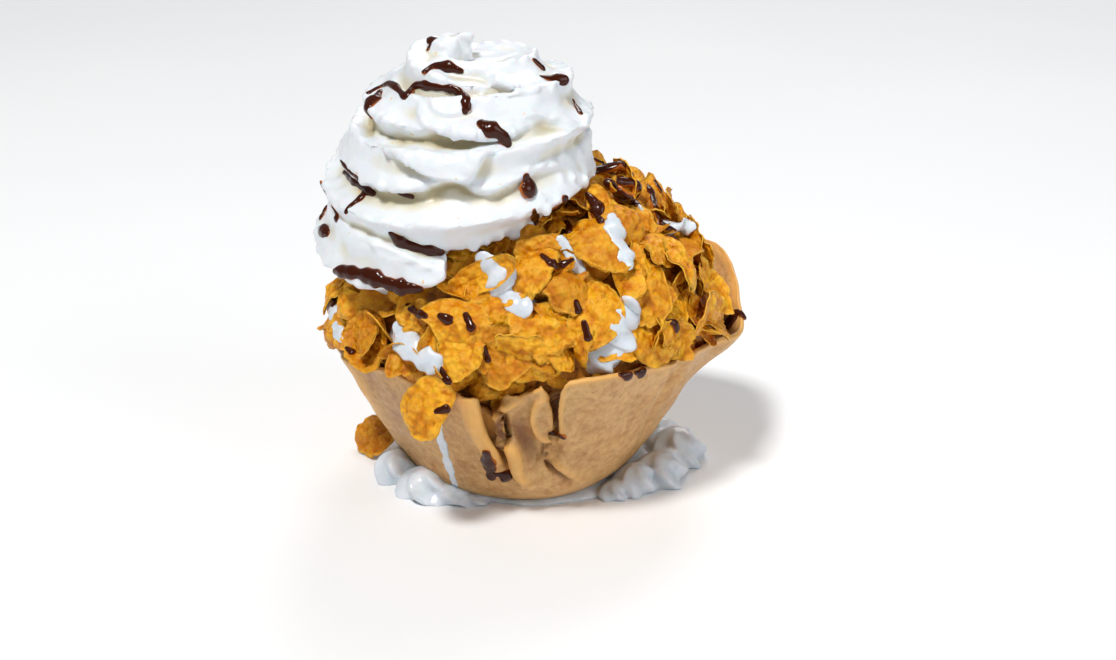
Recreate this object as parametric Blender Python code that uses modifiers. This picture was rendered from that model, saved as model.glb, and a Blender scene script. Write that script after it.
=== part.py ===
"""Fried ice cream in a pleated tortilla bowl: metres, +Z up, the front facing -Y.

The origin is the centre of the bowl's flat bottom. A fried flour tortilla, pleated into a
bowl, holds a ball of ice cream coated with corn flakes. A tilted swirl of whipped cream
sits on top, and small lumps of melted cream lie round the bowl's foot with one loose flake.
"""

import math

import bmesh
import bpy
import numpy as np
from mathutils import Vector
from mathutils.bvhtree import BVHTree

OBJECT_NAME = "fried_ice_cream"
GAP = 0.0004

# Tortilla bowl: a flat foot, a round corner, then a straight flared wall
CORNER_RADIUS = 0.022
WALL_ANGLE = math.radians(62)
REACH_HEIGHT = 0.048
SHELL_THICKNESS = 0.0024
COLUMN_STEP = 10.0
CLOSEST_COLUMNS = 0.12
PLEAT_COLUMNS = (-1.6, -0.8, 0.0, 0.8, 1.6)
CORNER_ROWS = 3
WALL_ROWS = 4

# Azimuth in degrees, 0 at the front and 90 at the right, then the value there
RIM_HEIGHTS = (
    (-178, 0.050), (-150, 0.056), (-120, 0.050), (-94, 0.0435), (-72, 0.045), (-53, 0.0475),
    (-30, 0.047), (-8, 0.047), (20, 0.053), (45, 0.050), (70, 0.048), (84, 0.0465),
    (94, 0.047), (106, 0.058), (120, 0.066), (138, 0.062), (160, 0.053),
)
FOOT_RADII = (
    (-178, 0.025), (-120, 0.027), (-90, 0.028), (-50, 0.0285), (-15, 0.0260), (10, 0.0248),
    (35, 0.022), (65, 0.0195), (95, 0.019), (130, 0.022),
)
# Distance from the axis at the height REACH_HEIGHT
WALL_REACHES = (
    (-178, 0.0602), (-150, 0.0625), (-120, 0.0660), (-94, 0.0695), (-72, 0.0625),
    (-53, 0.0586), (-30, 0.0571), (-8, 0.0555), (20, 0.0567), (45, 0.0552), (70, 0.0575),
    (84, 0.0610), (94, 0.0630), (106, 0.0655), (120, 0.0637), (138, 0.0625), (160, 0.0594),
)
# The tip that the rim is pinched out to at the right: azimuth, half width, reach, start height
PINCHED_TIP = (93.0, 9.0, 0.0090, 0.028, 0.018)

# Pleats: azimuth at the rim, its change down to the foot, half width in degrees, inward depth,
# rim dip and sideways slant in degrees. A negative depth is a roll that stands out.
PLEATS = (
    (-12.8, 5.0, 2.9, 0.0085, 0.020, 14),
    (-20.0, 9.0, 3.4, -0.0030, 0.0, 0),
    (-8.6, 1.5, 1.5, -0.0014, -0.002, 0),
    (-2.5, 8.0, 5.0, 0.0030, 0.003, 0),
    (7.7, 3.0, 2.3, 0.0070, 0.015, 10),
    (3.6, 5.0, 2.3, -0.0026, 0.0, 0),
    (11.2, 3.0, 1.8, -0.0012, -0.001, 0),
    (61.0, 0.0, 4.5, 0.0030, 0.003, 20),
    (149.0, -5.0, 3.4, 0.0070, 0.018, 16),
    (142.0, -8.0, 3.4, -0.0026, 0.0, 0),
    (-164.0, 5.0, 3.6, 0.0075, 0.020, -16),
    (-156.0, 6.0, 3.4, -0.0026, 0.0, 0),
    (-128.0, 4.0, 4.0, 0.0055, 0.012, 20),
    (-74.0, 0.0, 5.0, -0.0022, 0.0, 0),
)
PLEAT_START = 0.006
PLEAT_RUN = 0.026

# Ice cream core: an ellipsoid that the bowl's inner wall trims
CORE_CENTRE = (-0.002, 0.0, 0.050)
CORE_AXES = (0.0585, 0.0505, 0.0495)
CORE_COLUMNS = 32
CORE_ROWS = 14
CORE_CLEARANCE = 0.0010
CORE_TRIM_ABOVE_RIM = 0.012

# Whipped cream: a rope wound clockwise up a cone, from the tongue at the front
CREAM_AXIS = ((0.0, -0.0240), (1.5, -0.0220), (3.0, -0.0175), (4.1, -0.0170), (4.7, -0.0235))
CREAM_AXIS_Y = -0.0035
CREAM_REACH = ((0.0, 0.0440), (0.25, 0.0455), (1.0, 0.0440), (2.0, 0.0405), (3.0, 0.0338),
               (4.0, 0.0262), (4.35, 0.0170), (4.7, 0.0075))
CREAM_ROPE = ((0.005, 0.0030), (0.05, 0.0090), (0.10, 0.0118), (0.25, 0.0135), (0.75, 0.0105),
              (1.5, 0.0100), (3.0, 0.0092), (4.0, 0.0085), (4.4, 0.0078), (4.7, 0.0050))
CREAM_HEIGHT = ((0.0, 0.0915), (1.0, 0.1040), (2.0, 0.1165), (3.0, 0.1260), (4.0, 0.1325),
                (4.35, 0.1370), (4.7, 0.1430))
CREAM_LEAN_X = ((0.0, 0.28), (2.0, 0.22), (3.0, 0.15), (4.0, 0.05), (4.7, 0.0))
CREAM_LEAN_Y = ((0.0, 0.20), (2.0, 0.12), (4.0, 0.03), (4.7, 0.0))
CREAM_START = 0.005
CREAM_END = 4.7
# The rope's section is a star with blunt points and scooped sides
CREAM_POINTS = 5
POINT_REACH = 1.07
SCOOP_DEPTH = 0.30
FIRST_POINT = math.radians(-38)
POINT_TWIST = 0.30
CREAM_STEPS_PER_TURN = 48
CREAM_SECTION_POINTS = 60
CREAM_VOXEL = 0.0013
CREAM_TRIANGLES = 2500
CREAM_SEAT_GAP = 0.0006

# Corn flakes
FLAKE_THICKNESS = 0.0013
FLAKE_SIDES = 9
FLAKED_TRIANGLES = 6600
FLAKE_SEED = 4100
FLAKE_SPACING = 13.2
FRONT_FLAKE_ROOM = 10.3
CREAM_MARGIN = 0.0009
BOWL_MARGIN = 0.0012
SETTLING_STEPS = 9
# The flakes that show best: azimuth and elevation in degrees on the core, length, width as a
# share of it, turn, lean and sway in degrees, lift off the core, bulge of the middle
FRONT_FLAKES = (
    (-19, 30, 0.0235, 0.68, -20, 12, 6, 0.0052, 0.0028),
    (-20, 13, 0.0220, 0.88, 35, 8, -6, 0.0050, 0.0022),
    (-6, 5, 0.0195, 0.90, -15, 6, 4, 0.0045, 0.0022),
    (3, 1, 0.0170, 0.90, 20, 2, 12, 0.0028, 0.0020),
    (-13, 44, 0.0235, 0.42, 28, -30, -18, 0.0042, -0.0022),
    (3, 38, 0.0175, 0.78, 62, 12, -22, 0.0040, 0.0018),
    (6, 19, 0.0200, 0.86, -30, 10, 8, 0.0040, 0.0020),
    (1, 13, 0.0205, 0.46, -24, -42, 0, 0.0046, 0.0016),
    (-54, 19, 0.0200, 0.72, -38, 18, -10, 0.0040, 0.0020),
    (-52, 8, 0.0205, 0.70, -50, 26, 12, 0.0034, -0.0018),
    (-35, 8, 0.0150, 0.55, 5, -30, 0, 0.0034, -0.0022),
    (-29, 23, 0.0150, 0.60, -40, 10, 20, 0.0022, 0.0016),
    (-7, 26, 0.0170, 0.62, 30, 20, -14, 0.0030, 0.0016),
    (-10, 13, 0.0150, 0.45, 80, 4, 50, 0.0034, 0.0014),
    (30, 45, 0.0220, 0.72, -62, 12, -10, 0.0052, 0.0024),
    (14, 32, 0.0165, 0.90, -30, 14, 10, 0.0040, 0.0018),
    (22, 22, 0.0215, 0.70, 58, 10, -8, 0.0050, 0.0020),
    (51, 48, 0.0205, 0.56, -38, -20, 10, 0.0048, 0.0026),
    (76, 60, 0.0180, 0.50, -20, -22, 0, 0.0044, -0.0020),
    (100, 58, 0.0190, 0.66, 20, -34, -10, 0.0052, -0.0026),
    (95, 43, 0.0210, 0.50, -50, -38, 8, 0.0050, -0.0026),
    (86, 31, 0.0190, 0.80, 70, -24, 12, 0.0042, -0.0030),
    (65, 31, 0.0220, 0.70, 75, 2, 20, 0.0044, 0.0022),
    (42, 25, 0.0200, 0.66, 66, 6, -12, 0.0052, 0.0022),
    (50, 16, 0.0210, 0.60, 30, 16, 14, 0.0036, 0.0018),
    (41, 8, 0.0175, 0.85, 0, 8, 0, 0.0040, 0.0020),
    (53, 8, 0.0160, 0.62, -40, 4, 24, 0.0042, 0.0018),
    (30, 7, 0.0180, 0.70, 25, 18, -10, 0.0034, 0.0018),
    (36, 33, 0.0180, 0.60, 80, 24, 0, 0.0036, -0.0022),
    (46, 38, 0.0130, 0.62, 75, 4, 34, 0.0038, 0.0014),
    (58, 38, 0.0165, 0.80, 10, 10, 8, 0.0040, 0.0018),
    (17, 8, 0.0170, 0.45, 75, 0, -55, 0.0036, 0.0014),
    (9, 47, 0.0200, 0.42, 0, -40, 0, 0.0038, 0.0014),
    (42, 63, 0.0180, 0.50, 80, -10, -48, 0.0046, -0.0018),
    (-76, 15, 0.0190, 0.72, 60, 20, -12, 0.0036, 0.0020),
    (-66, 6, 0.0160, 0.70, 10, 24, 14, 0.0030, 0.0018),
    (10, 9, 0.0160, 0.70, -60, 12, 30, 0.0030, 0.0016),
    (-36, 16, 0.0140, 0.60, 70, -14, 18, 0.0026, 0.0014),
)
# The flake that hangs over the rim at the front: centre, length, width share, turn and bulge
HANGING_FLAKE = ((-0.0315, -0.0560, 0.0440), 0.0200, 0.84, 62, 0.0016)
HANGING_TILT = (math.radians(72), 0.0, math.radians(-30))
FALLEN_FLAKE = ((-0.0545, 0.0080, 0.0048), 0.0190, 0.78, 30, 0.0018)
FALLEN_TILT = (math.radians(34), math.radians(24), math.radians(-80))

# Chocolate sauce: places in the plane through the axis, (x, z), seen from the front
VIEW_POINT = (0.0085, -0.535, 0.249)
CREAM_SAUCE = (
    (0.0030, (-0.0331, 0.1341), (-0.0308, 0.1360), (-0.0265, 0.1360), (-0.0218, 0.1344)),
    (0.0028, (-0.0393, 0.1258), (-0.0366, 0.1300), (-0.0285, 0.1290), (-0.0232, 0.1284),
     (-0.0201, 0.1252), (-0.0208, 0.1216)),
    (0.0038, (-0.0155, 0.1175), (-0.0124, 0.1155), (-0.0092, 0.1139), (-0.0074, 0.1110)),
    (0.0032, (-0.0595, 0.1018), (-0.0564, 0.0988), (-0.0505, 0.0945)),
    (0.0034, (-0.0452, 0.0811), (-0.0427, 0.0787), (-0.0379, 0.0767), (-0.0298, 0.0750)),
    (0.0036, (-0.0652, 0.0681), (-0.0593, 0.0681), (-0.0522, 0.0664), (-0.0448, 0.0633),
     (-0.0367, 0.0622), (-0.0315, 0.0609)),
)
SHELL_SAUCE = ((0.0032, (0.0664, 0.0520), (0.0636, 0.0492), (0.0600, 0.0470), (0.0566, 0.0450)),)
SAUCE_SIDES = 6
SAUCE_FLATNESS = 0.62
SAUCE_END_WIDTH = 0.6
SAUCE_TIP = 0.45

# Melted cream round the foot: azimuth, distance from the middle, radius, height
FOOT_LUMPS = (
    (-74, 0.0455, 0.0085, 0.0095), (-57, 0.0415, 0.0095, 0.0100), (-42, 0.0375, 0.0070, 0.0055),
    (56, 0.0395, 0.0055, 0.0090), (70, 0.0445, 0.0090, 0.0095), (93, 0.0495, 0.0095, 0.0105),
    (112, 0.0480, 0.0080, 0.0075), (144, 0.0440, 0.0080, 0.0070), (176, 0.0430, 0.0090, 0.0085),
    (-152, 0.0440, 0.0075, 0.0065), (-120, 0.0460, 0.0085, 0.0075),
)
# Outer edge of the low ring of melt that the lumps stand on
FOAM_REACHES = (
    (-178, 0.0400), (-120, 0.0430), (-80, 0.0420), (-50, 0.0370), (-20, 0.0345), (15, 0.0335),
    (40, 0.0350), (60, 0.0400), (90, 0.0460), (115, 0.0440), (145, 0.0405),
)
FOAM_UNDERLAP = 0.0012
FOAM_HEIGHT = 0.0024
FOOT_CREAM_TRIANGLES = 900


def clear_scene():
    for obj in list(bpy.data.objects):
        bpy.data.objects.remove(obj, do_unlink=True)


def new_collection(name):
    collection = bpy.data.collections.new(name)
    bpy.context.scene.collection.children.link(collection)
    return collection


def material(name, colour, roughness, coat=0.0):
    result = bpy.data.materials.new(name)
    result.use_nodes = True
    shader = result.node_tree.nodes["Principled BSDF"]
    shader.inputs["Base Color"].default_value = (*colour, 1.0)
    shader.inputs["Roughness"].default_value = roughness
    shader.inputs["Metallic"].default_value = 0.0
    shader.inputs["Coat Weight"].default_value = coat
    return result


def mesh_object(name, points, faces, collection):
    mesh = bpy.data.meshes.new(name)
    mesh.from_pydata([tuple(p) for p in points], [], faces)
    obj = bpy.data.objects.new(name, mesh)
    collection.objects.link(obj)
    return obj


def face_outwards(obj):
    edit = bmesh.new()
    edit.from_mesh(obj.data)
    bmesh.ops.recalc_face_normals(edit, faces=edit.faces)
    edit.to_mesh(obj.data)
    edit.free()


def apply_modifiers(obj):
    bpy.context.view_layer.update()
    graph = bpy.context.evaluated_depsgraph_get()
    mesh = bpy.data.meshes.new_from_object(obj.evaluated_get(graph))
    obj.modifiers.clear()
    obj.data = mesh


def hide_cutter(obj):
    obj.hide_render = True
    obj.display_type = "WIRE"


def finish_node(obj, surface, smooth_angle=40):
    obj.data.materials.clear()
    obj.data.materials.append(surface)
    obj.data.shade_smooth()
    obj.data.set_sharp_from_angle(angle=math.radians(smooth_angle))


def island_volume(faces):
    corners = [[v.co for v in face.verts] for face in faces]
    return sum(c[0].dot(c[k].cross(c[k + 1])) for c in corners for k in range(1, len(c) - 1)) / 6


def keep_main_body(obj):
    """Drops loose scraps and fills sealed hollows, so that one closed body is left."""
    edit = bmesh.new()
    edit.from_mesh(obj.data)
    bmesh.ops.remove_doubles(edit, verts=edit.verts, dist=1e-6)
    bmesh.ops.dissolve_degenerate(edit, edges=edit.edges, dist=1e-6)
    unseen = set(edit.faces)
    islands = []
    while unseen:
        stack = [unseen.pop()]
        island = []
        while stack:
            face = stack.pop()
            island.append(face)
            for edge in face.edges:
                for other in edge.link_faces:
                    if other in unseen:
                        unseen.remove(other)
                        stack.append(other)
        islands.append(island)
    islands.sort(key=island_volume)
    for island in islands[:-1]:
        bmesh.ops.delete(edit, geom=island, context="FACES")
    bmesh.ops.triangulate(edit, faces=edit.faces)
    edit.to_mesh(obj.data)
    edit.free()


def thin_out(obj, triangles):
    """Merges the least needed edges until about this many triangles are left."""
    obj.data.calc_loop_triangles()
    fewer = obj.modifiers.new("fewer", "DECIMATE")
    fewer.ratio = min(1.0, triangles / len(obj.data.loop_triangles))
    fewer.use_collapse_triangulate = True
    apply_modifiers(obj)
    keep_main_body(obj)


def fuse(obj, extras):
    """One Boolean union of the object with everything in the collection, which then goes."""
    union = obj.modifiers.new("fuse", "BOOLEAN")
    union.operation = "UNION"
    union.operand_type = "COLLECTION"
    union.collection = extras
    apply_modifiers(obj)
    for extra in list(extras.objects):
        bpy.data.objects.remove(extra, do_unlink=True)
    bpy.data.collections.remove(extras)
    keep_main_body(obj)


# Shape rules shared by the pieces
def smooth_step(value):
    value = np.clip(value, 0.0, 1.0)
    return value * value * (3 - 2 * value)


def along(stations, place):
    return np.interp(place, [s[0] for s in stations], [s[1] for s in stations])


def round_the_bowl(stations, azimuth):
    """A value at each azimuth in degrees, eased between the stations and closed on itself."""
    places = np.array([s[0] for s in stations] + [stations[0][0] + 360.0])
    values = np.array([s[1] for s in stations] + [stations[0][1]])
    wrapped = (np.asarray(azimuth, float) - places[0]) % 360.0 + places[0]
    index = np.clip(np.searchsorted(places, wrapped, side="right") - 1, 0, len(places) - 2)
    share = (wrapped - places[index]) / (places[index + 1] - places[index])
    count = len(places) - 1
    before, after = values[(index - 1) % count], values[(index + 2) % count]
    start, end = values[index], values[(index + 1) % count]
    return start + 0.5 * share * (
        end - before + share * (2 * before - 5 * start + 4 * end - after
                                + share * (3 * (start - end) + after - before)))


def pleat_weight(azimuth, centre, width):
    away = (np.asarray(azimuth, float) - centre + 180.0) % 360.0 - 180.0
    return np.exp(-((away / width) ** 2))


def rim_height(azimuth):
    height = round_the_bowl(RIM_HEIGHTS, azimuth)
    for centre, _, width, _, dip, _ in PLEATS:
        height = height - dip * pleat_weight(azimuth, centre, 0.8 * width)
    return height


def pleat_centre(centre, drift, height):
    """Where a pleat lies at this height: it runs aslant from the rim to the foot."""
    return centre + drift * np.clip(1 - np.asarray(height, float) / REACH_HEIGHT, 0.0, 1.0)


CORNER_TOP = CORNER_RADIUS * (1 - math.cos(WALL_ANGLE))
FULL_RUN = CORNER_RADIUS * math.sin(WALL_ANGLE) + (REACH_HEIGHT - CORNER_TOP) / math.tan(WALL_ANGLE)


def wall_radius(azimuth, height, inset=0.0):
    """Distance of the bowl's outer wall from the axis, or of a wall that lies inset inside it."""
    height = np.asarray(height, float)
    corner = CORNER_RADIUS - inset
    turn_height = CORNER_RADIUS - corner * math.cos(WALL_ANGLE)
    fall = np.clip(CORNER_RADIUS - height, 0.0, corner)
    low = np.sqrt(np.maximum(corner ** 2 - fall ** 2, 0.0))
    high = corner * math.sin(WALL_ANGLE) + (height - turn_height) / math.tan(WALL_ANGLE)
    foot = round_the_bowl(FOOT_RADII, azimuth)
    spread = (round_the_bowl(WALL_REACHES, azimuth) - foot) / FULL_RUN
    steepness = 1.1 * inset * (1 - np.minimum(spread, 1.0))
    centre, width, reach, start, rise = PINCHED_TIP
    tip = reach * pleat_weight(azimuth, centre, width) * smooth_step((height - start) / rise)
    return foot + np.where(height < turn_height, low, high) * spread - steepness + tip


def direction(azimuth):
    angle = np.radians(azimuth)
    return np.stack([np.sin(angle), -np.cos(angle), np.zeros_like(angle)], axis=-1)


def wall_point(azimuth, height, inset=0.0):
    """A point on the wall with its pleats: each pleat moves it inwards and to one side."""
    azimuth, height = np.broadcast_arrays(np.asarray(azimuth, float), np.asarray(height, float))
    outward = direction(azimuth)
    sideways = np.stack([-outward[..., 1], outward[..., 0], np.zeros_like(azimuth)], axis=-1)
    point = wall_radius(azimuth, height, inset)[..., None] * outward
    rise = smooth_step((height - PLEAT_START) / PLEAT_RUN)
    for centre, drift, width, depth, _, slant in PLEATS:
        push = depth * rise * pleat_weight(azimuth, pleat_centre(centre, drift, height), width)
        lean = math.radians(slant)
        point = point - (push * math.cos(lean))[..., None] * outward
        point = point + (push * math.sin(lean))[..., None] * sideways
    point[..., 2] = height
    return point


def grid_faces(rows, columns):
    """Quads between rings of points, each ring closed on itself."""
    return [
        (r * columns + c, r * columns + (c + 1) % columns,
         (r + 1) * columns + (c + 1) % columns, (r + 1) * columns + c)
        for r in range(rows - 1) for c in range(columns)
    ]


def bowl_columns(step):
    """Azimuths round the bowl, closer together at each pleat."""
    marks = set(np.round(np.arange(-180.0, 180.0, step), 2))
    for centre, drift, width, *_ in PLEATS:
        near = [centre + width * share for share in PLEAT_COLUMNS]
        near += [centre + drift] if abs(drift) > 2 * width else []
        marks = {m for m in marks if min(abs(m - n) for n in near) > CLOSEST_COLUMNS * step}
        marks |= {round(n, 2) for n in near}
    return np.array(sorted((m + 180.0) % 360.0 - 180.0 for m in marks))


def bowl_surface(step, corner_rows, wall_rows, inset=0.0):
    """Points and faces of the bowl's outer surface: the foot, the corner and the wall."""
    azimuth = bowl_columns(step)
    rings = [0.5 * round_the_bowl(FOOT_RADII, azimuth)[:, None] * direction(azimuth)]
    turns = np.linspace(0.0, WALL_ANGLE, corner_rows + 1)
    for turn in turns:
        height = CORNER_RADIUS * (1 - math.cos(turn))
        rings.append(wall_point(azimuth, np.full_like(azimuth, height), inset))
    top = rim_height(azimuth)
    for row in range(1, wall_rows + 1):
        share = row / wall_rows
        rings.append(wall_point(azimuth, CORNER_TOP + (top - CORNER_TOP) * share, inset))
    columns = len(azimuth)
    points = np.concatenate([*rings, [[0.0, 0.0, 0.0]]])
    centre = len(points) - 1
    faces = grid_faces(len(rings), columns)
    faces += [(centre, (c + 1) % columns, c) for c in range(columns)]
    return points, faces, len(rings), columns


def core_radius_limit(azimuth, height):
    """How far out the core may reach inside the bowl, clear of its wall and pleats."""
    limit = wall_radius(azimuth, height, SHELL_THICKNESS) - GAP - CORE_CLEARANCE
    deepest = np.zeros_like(limit)
    for centre, drift, width, depth, _, slant in PLEATS:
        fold = pleat_centre(centre, drift, height)
        fold = fold + 0.5 * math.degrees(depth * math.sin(math.radians(slant)) / REACH_HEIGHT)
        reach = (depth + CORE_CLEARANCE) * pleat_weight(azimuth, fold, max(2.4 * width, 10.0))
        deepest = np.maximum(deepest, reach)
    return limit - deepest


def core_point(azimuth, elevation, grow=0.0):
    azimuth, elevation = np.broadcast_arrays(np.asarray(azimuth, float),
                                             np.asarray(elevation, float))
    around = direction(azimuth) * np.cos(np.radians(elevation))[..., None]
    around[..., 2] = np.sin(np.radians(elevation))
    point = np.array(CORE_CENTRE) + around * (np.array(CORE_AXES) + grow)
    point[..., 2] = np.maximum(point[..., 2], SHELL_THICKNESS + GAP)
    out = np.hypot(point[..., 0], point[..., 1])
    real_azimuth = np.degrees(np.arctan2(point[..., 0], -point[..., 1]))
    inside = point[..., 2] < round_the_bowl(RIM_HEIGHTS, real_azimuth) + CORE_TRIM_ABOVE_RIM
    limit = core_radius_limit(real_azimuth, point[..., 2])
    scale = np.where(inside, np.minimum(1.0, limit / np.maximum(out, 1e-6)), 1.0)
    point[..., :2] *= scale[..., None]
    return point


def core_mesh(columns, rows, grow=0.0):
    azimuth = np.linspace(-180.0, 180.0, columns, endpoint=False)
    levels = np.linspace(-90.0, 90.0, rows + 1)[1:-1]
    rings = [core_point(azimuth, level, grow) for level in levels]
    points = np.concatenate([*rings, [core_point(0.0, -90.0, grow)], [core_point(0.0, 90.0, grow)]])
    faces = grid_faces(len(rings), columns)
    last = (len(rings) - 1) * columns
    for c in range(columns):
        after = (c + 1) % columns
        faces.append((len(points) - 2, after, c))
        faces.append((last + c, last + after, len(points) - 1))
    return points, faces


def cream_section(turn):
    """Axis, distance of the rope's middle from it, its height there, and the rope's radius."""
    rope = along(CREAM_ROPE, turn)
    middle = np.maximum(along(CREAM_REACH, turn) - rope, 0.0008)
    angle = np.radians(180.0 + 360.0 * np.asarray(turn, float))
    outward = np.stack([np.sin(angle), np.cos(angle), np.zeros_like(angle)], axis=-1)
    height = along(CREAM_HEIGHT, turn)
    height = height + along(CREAM_LEAN_X, turn) * outward[..., 0] * middle
    height = height + along(CREAM_LEAN_Y, turn) * outward[..., 1] * middle
    return along(CREAM_AXIS, turn), outward, middle, height, rope


def cream_rope(steps_per_turn, section_points):
    """The wound rope: ridged outside, and reaching in to the axis so that no hollow is left."""
    steps = int((CREAM_END - CREAM_START) * steps_per_turn)
    beta = np.linspace(0, 2 * np.pi, section_points, endpoint=False)
    rings = []
    for turn in np.linspace(CREAM_START, CREAM_END, steps):
        axis_x, outward, middle, height, rope = cream_section(turn)
        start = FIRST_POINT + POINT_TWIST * 2 * np.pi * turn
        scoop = np.abs(np.sin(0.5 * CREAM_POINTS * (beta - start)))
        radius = rope * (POINT_REACH - SCOOP_DEPTH * scoop)
        reach = np.where(np.cos(beta) < 0, 0.96 * middle, radius)
        ring = (middle + reach * np.cos(beta))[:, None] * outward
        ring[:, 0] += axis_x
        ring[:, 1] += CREAM_AXIS_Y
        ring[:, 2] = height + radius * np.sin(beta)
        rings.append(ring)
    points = np.concatenate([*rings, [rings[0].mean(axis=0)], [rings[-1].mean(axis=0)]])
    faces = grid_faces(len(rings), section_points)
    last = (len(rings) - 1) * section_points
    for c in range(section_points):
        after = (c + 1) % section_points
        faces.append((len(points) - 2, after, c))
        faces.append((last + c, last + after, len(points) - 1))
    return points, faces


def in_cream(points, margin):
    """Whether any of the points lies inside the wound rope, or nearer to it than the margin."""
    for turn in range(-1, 5):
        axis_x = along(CREAM_AXIS, turn + 0.5)
        across = points[:, 0] - axis_x
        back = points[:, 1] - CREAM_AXIS_Y
        share = (np.degrees(np.arctan2(across, back)) - 180.0) % 360.0 / 360.0
        place = turn + share
        _, _, middle, height, rope = cream_section(place)
        reach = rope * POINT_REACH + margin
        rise = np.abs(points[:, 2] - height)
        out = np.hypot(across, back)
        width = np.sqrt(np.maximum(reach ** 2 - rise ** 2, 0.0))
        there = (place > CREAM_START - 0.01) & (place < CREAM_END) & (rise < reach)
        if np.any(there & (out < middle + width)):
            return True
    return False


def meets_bowl(points, margin):
    """Whether any of the points is in the bowl's wall, or nearer to it than the margin."""
    azimuth = np.degrees(np.arctan2(points[:, 0], -points[:, 1]))
    out = np.hypot(points[:, 0], points[:, 1])
    low = points[:, 2] < round_the_bowl(RIM_HEIGHTS, azimuth) + margin
    limit = core_radius_limit(azimuth, points[:, 2]) + CORE_CLEARANCE - margin
    return bool(np.any(low & (out > limit)))


def with_midpoints(points, sides):
    """The points of a flake with others between them, to test where it crosses a neighbour."""
    rim = points[:sides]
    middle = points[2 * sides]
    return np.concatenate([points, 0.5 * (rim + np.roll(rim, 1, axis=0)),
                           0.5 * (rim + middle), 0.75 * rim + 0.25 * middle])


def turned(vector, axis, degrees):
    """The vector turned about a unit axis."""
    angle = math.radians(degrees)
    return (vector * math.cos(angle) + np.cross(axis, vector) * math.sin(angle)
            + axis * np.dot(axis, vector) * (1 - math.cos(angle)))


def flake_axes(azimuth, elevation, turn, lean, sway):
    """Length, width and outward axes of a flake that lies on the core."""
    around = direction(np.array(float(azimuth))) * math.cos(math.radians(elevation))
    around[2] = math.sin(math.radians(elevation))
    normal = around / np.array(CORE_AXES)
    normal /= np.linalg.norm(normal)
    up = np.array([0.0, 0.0, 1.0]) - normal * normal[2]
    up /= max(np.linalg.norm(up), 1e-9)
    side = np.cross(up, normal)
    facing = turned(turned(normal, side, -lean), up, sway)
    length = side - facing * np.dot(side, facing)
    length = turned(length / np.linalg.norm(length), facing, turn)
    return length, np.cross(facing, length), facing


def flake_outline(rng, sides):
    """Distances from the middle, as shares of the half length: round, with a few bumps."""
    angle = np.linspace(0, 2 * np.pi, sides, endpoint=False)
    share = np.ones(sides)
    for bumps, size in ((2, 0.06), (3, 0.09), (4, 0.06), (5, 0.05)):
        height, phase = rng.uniform(0.4, 1.0) * size, rng.uniform(0, 2 * np.pi)
        share += height * np.cos(bumps * angle + phase)
    return angle, share


def flake_points(seed, sides, centre, axes, size, ratio, bulge):
    """Rim and middle of both faces of one flake: a thin plate with a raised or hollow middle."""
    rng = np.random.default_rng(seed)
    angle, share = flake_outline(rng, sides)
    twist = rng.uniform(-0.16, 0.16)
    length, width, facing = axes
    along_x = 0.5 * size * share * np.cos(angle)
    along_y = 0.5 * size * ratio * share * np.sin(angle)
    drop = -bulge * share ** 2 + twist * along_x * along_y / (0.5 * size)
    rim = centre + along_x[:, None] * length + along_y[:, None] * width
    rim = rim + (drop + 0.5 * bulge)[:, None] * facing
    middle = centre + 0.5 * bulge * facing
    half = 0.5 * FLAKE_THICKNESS * facing
    return np.concatenate([rim + half, rim - half, [middle + half], [middle - half]])


def flake_faces(sides):
    faces = []
    for k in range(sides):
        after = (k + 1) % sides
        faces.append((2 * sides, k, after))
        faces.append((2 * sides + 1, sides + after, sides + k))
        faces.append((k, sides + k, sides + after))
        faces.append((k, sides + after, after))
    return faces


def filler_flakes():
    """Flakes that cover the rest of the core, evenly spread along a spiral, then varied."""
    rng = np.random.default_rng(FLAKE_SEED)
    found = []
    golden = 180.0 * (3.0 - math.sqrt(5.0))
    total = int(4 * 180.0 ** 2 / math.pi / FLAKE_SPACING ** 2)
    for k in range(total):
        level = 1.0 - 2.0 * (k + 0.5) / total
        elevation = math.degrees(math.asin(level)) + rng.uniform(-2.5, 2.5)
        azimuth = (golden * k + rng.uniform(-4.0, 4.0) + 180.0) % 360.0 - 180.0
        size = rng.uniform(0.0150, 0.0225)
        ratio = rng.uniform(0.5, 0.92)
        turn, lean, sway = rng.uniform(-90, 90), rng.normal(6, 18), rng.normal(0, 16)
        lift, bulge = rng.uniform(0.0024, 0.0046), rng.uniform(-0.0026, 0.0026)
        if elevation > -16:
            found.append((azimuth, elevation, size, ratio, turn, lean, sway, lift, bulge))
    return found


def near_front_flake(azimuth, elevation):
    for other in FRONT_FLAKES:
        across = ((azimuth - other[0] + 180) % 360 - 180) * math.cos(math.radians(elevation))
        if math.hypot(across, elevation - other[1]) < FRONT_FLAKE_ROOM:
            return True
    return False


def settled_flake(seed, sides, spec):
    """The flake's points, raised and shrunk until it clears the bowl and the cream, or None."""
    azimuth, elevation, size, ratio, turn, lean, sway, lift, bulge = spec
    for _ in range(SETTLING_STEPS):
        axes = flake_axes(azimuth, elevation, turn, lean, sway)
        normal = flake_axes(azimuth, elevation, 0, 0, 0)[2]
        centre = core_point(azimuth, elevation) + lift * normal
        points = flake_points(seed, sides, centre, axes, size, ratio, bulge)
        samples = with_midpoints(points, sides)
        crosses_cream = in_cream(samples, CREAM_MARGIN)
        if not crosses_cream and not meets_bowl(samples, BOWL_MARGIN):
            return points
        elevation += -2.0 if crosses_cream else 2.0
        size *= 0.985
    return None


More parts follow.
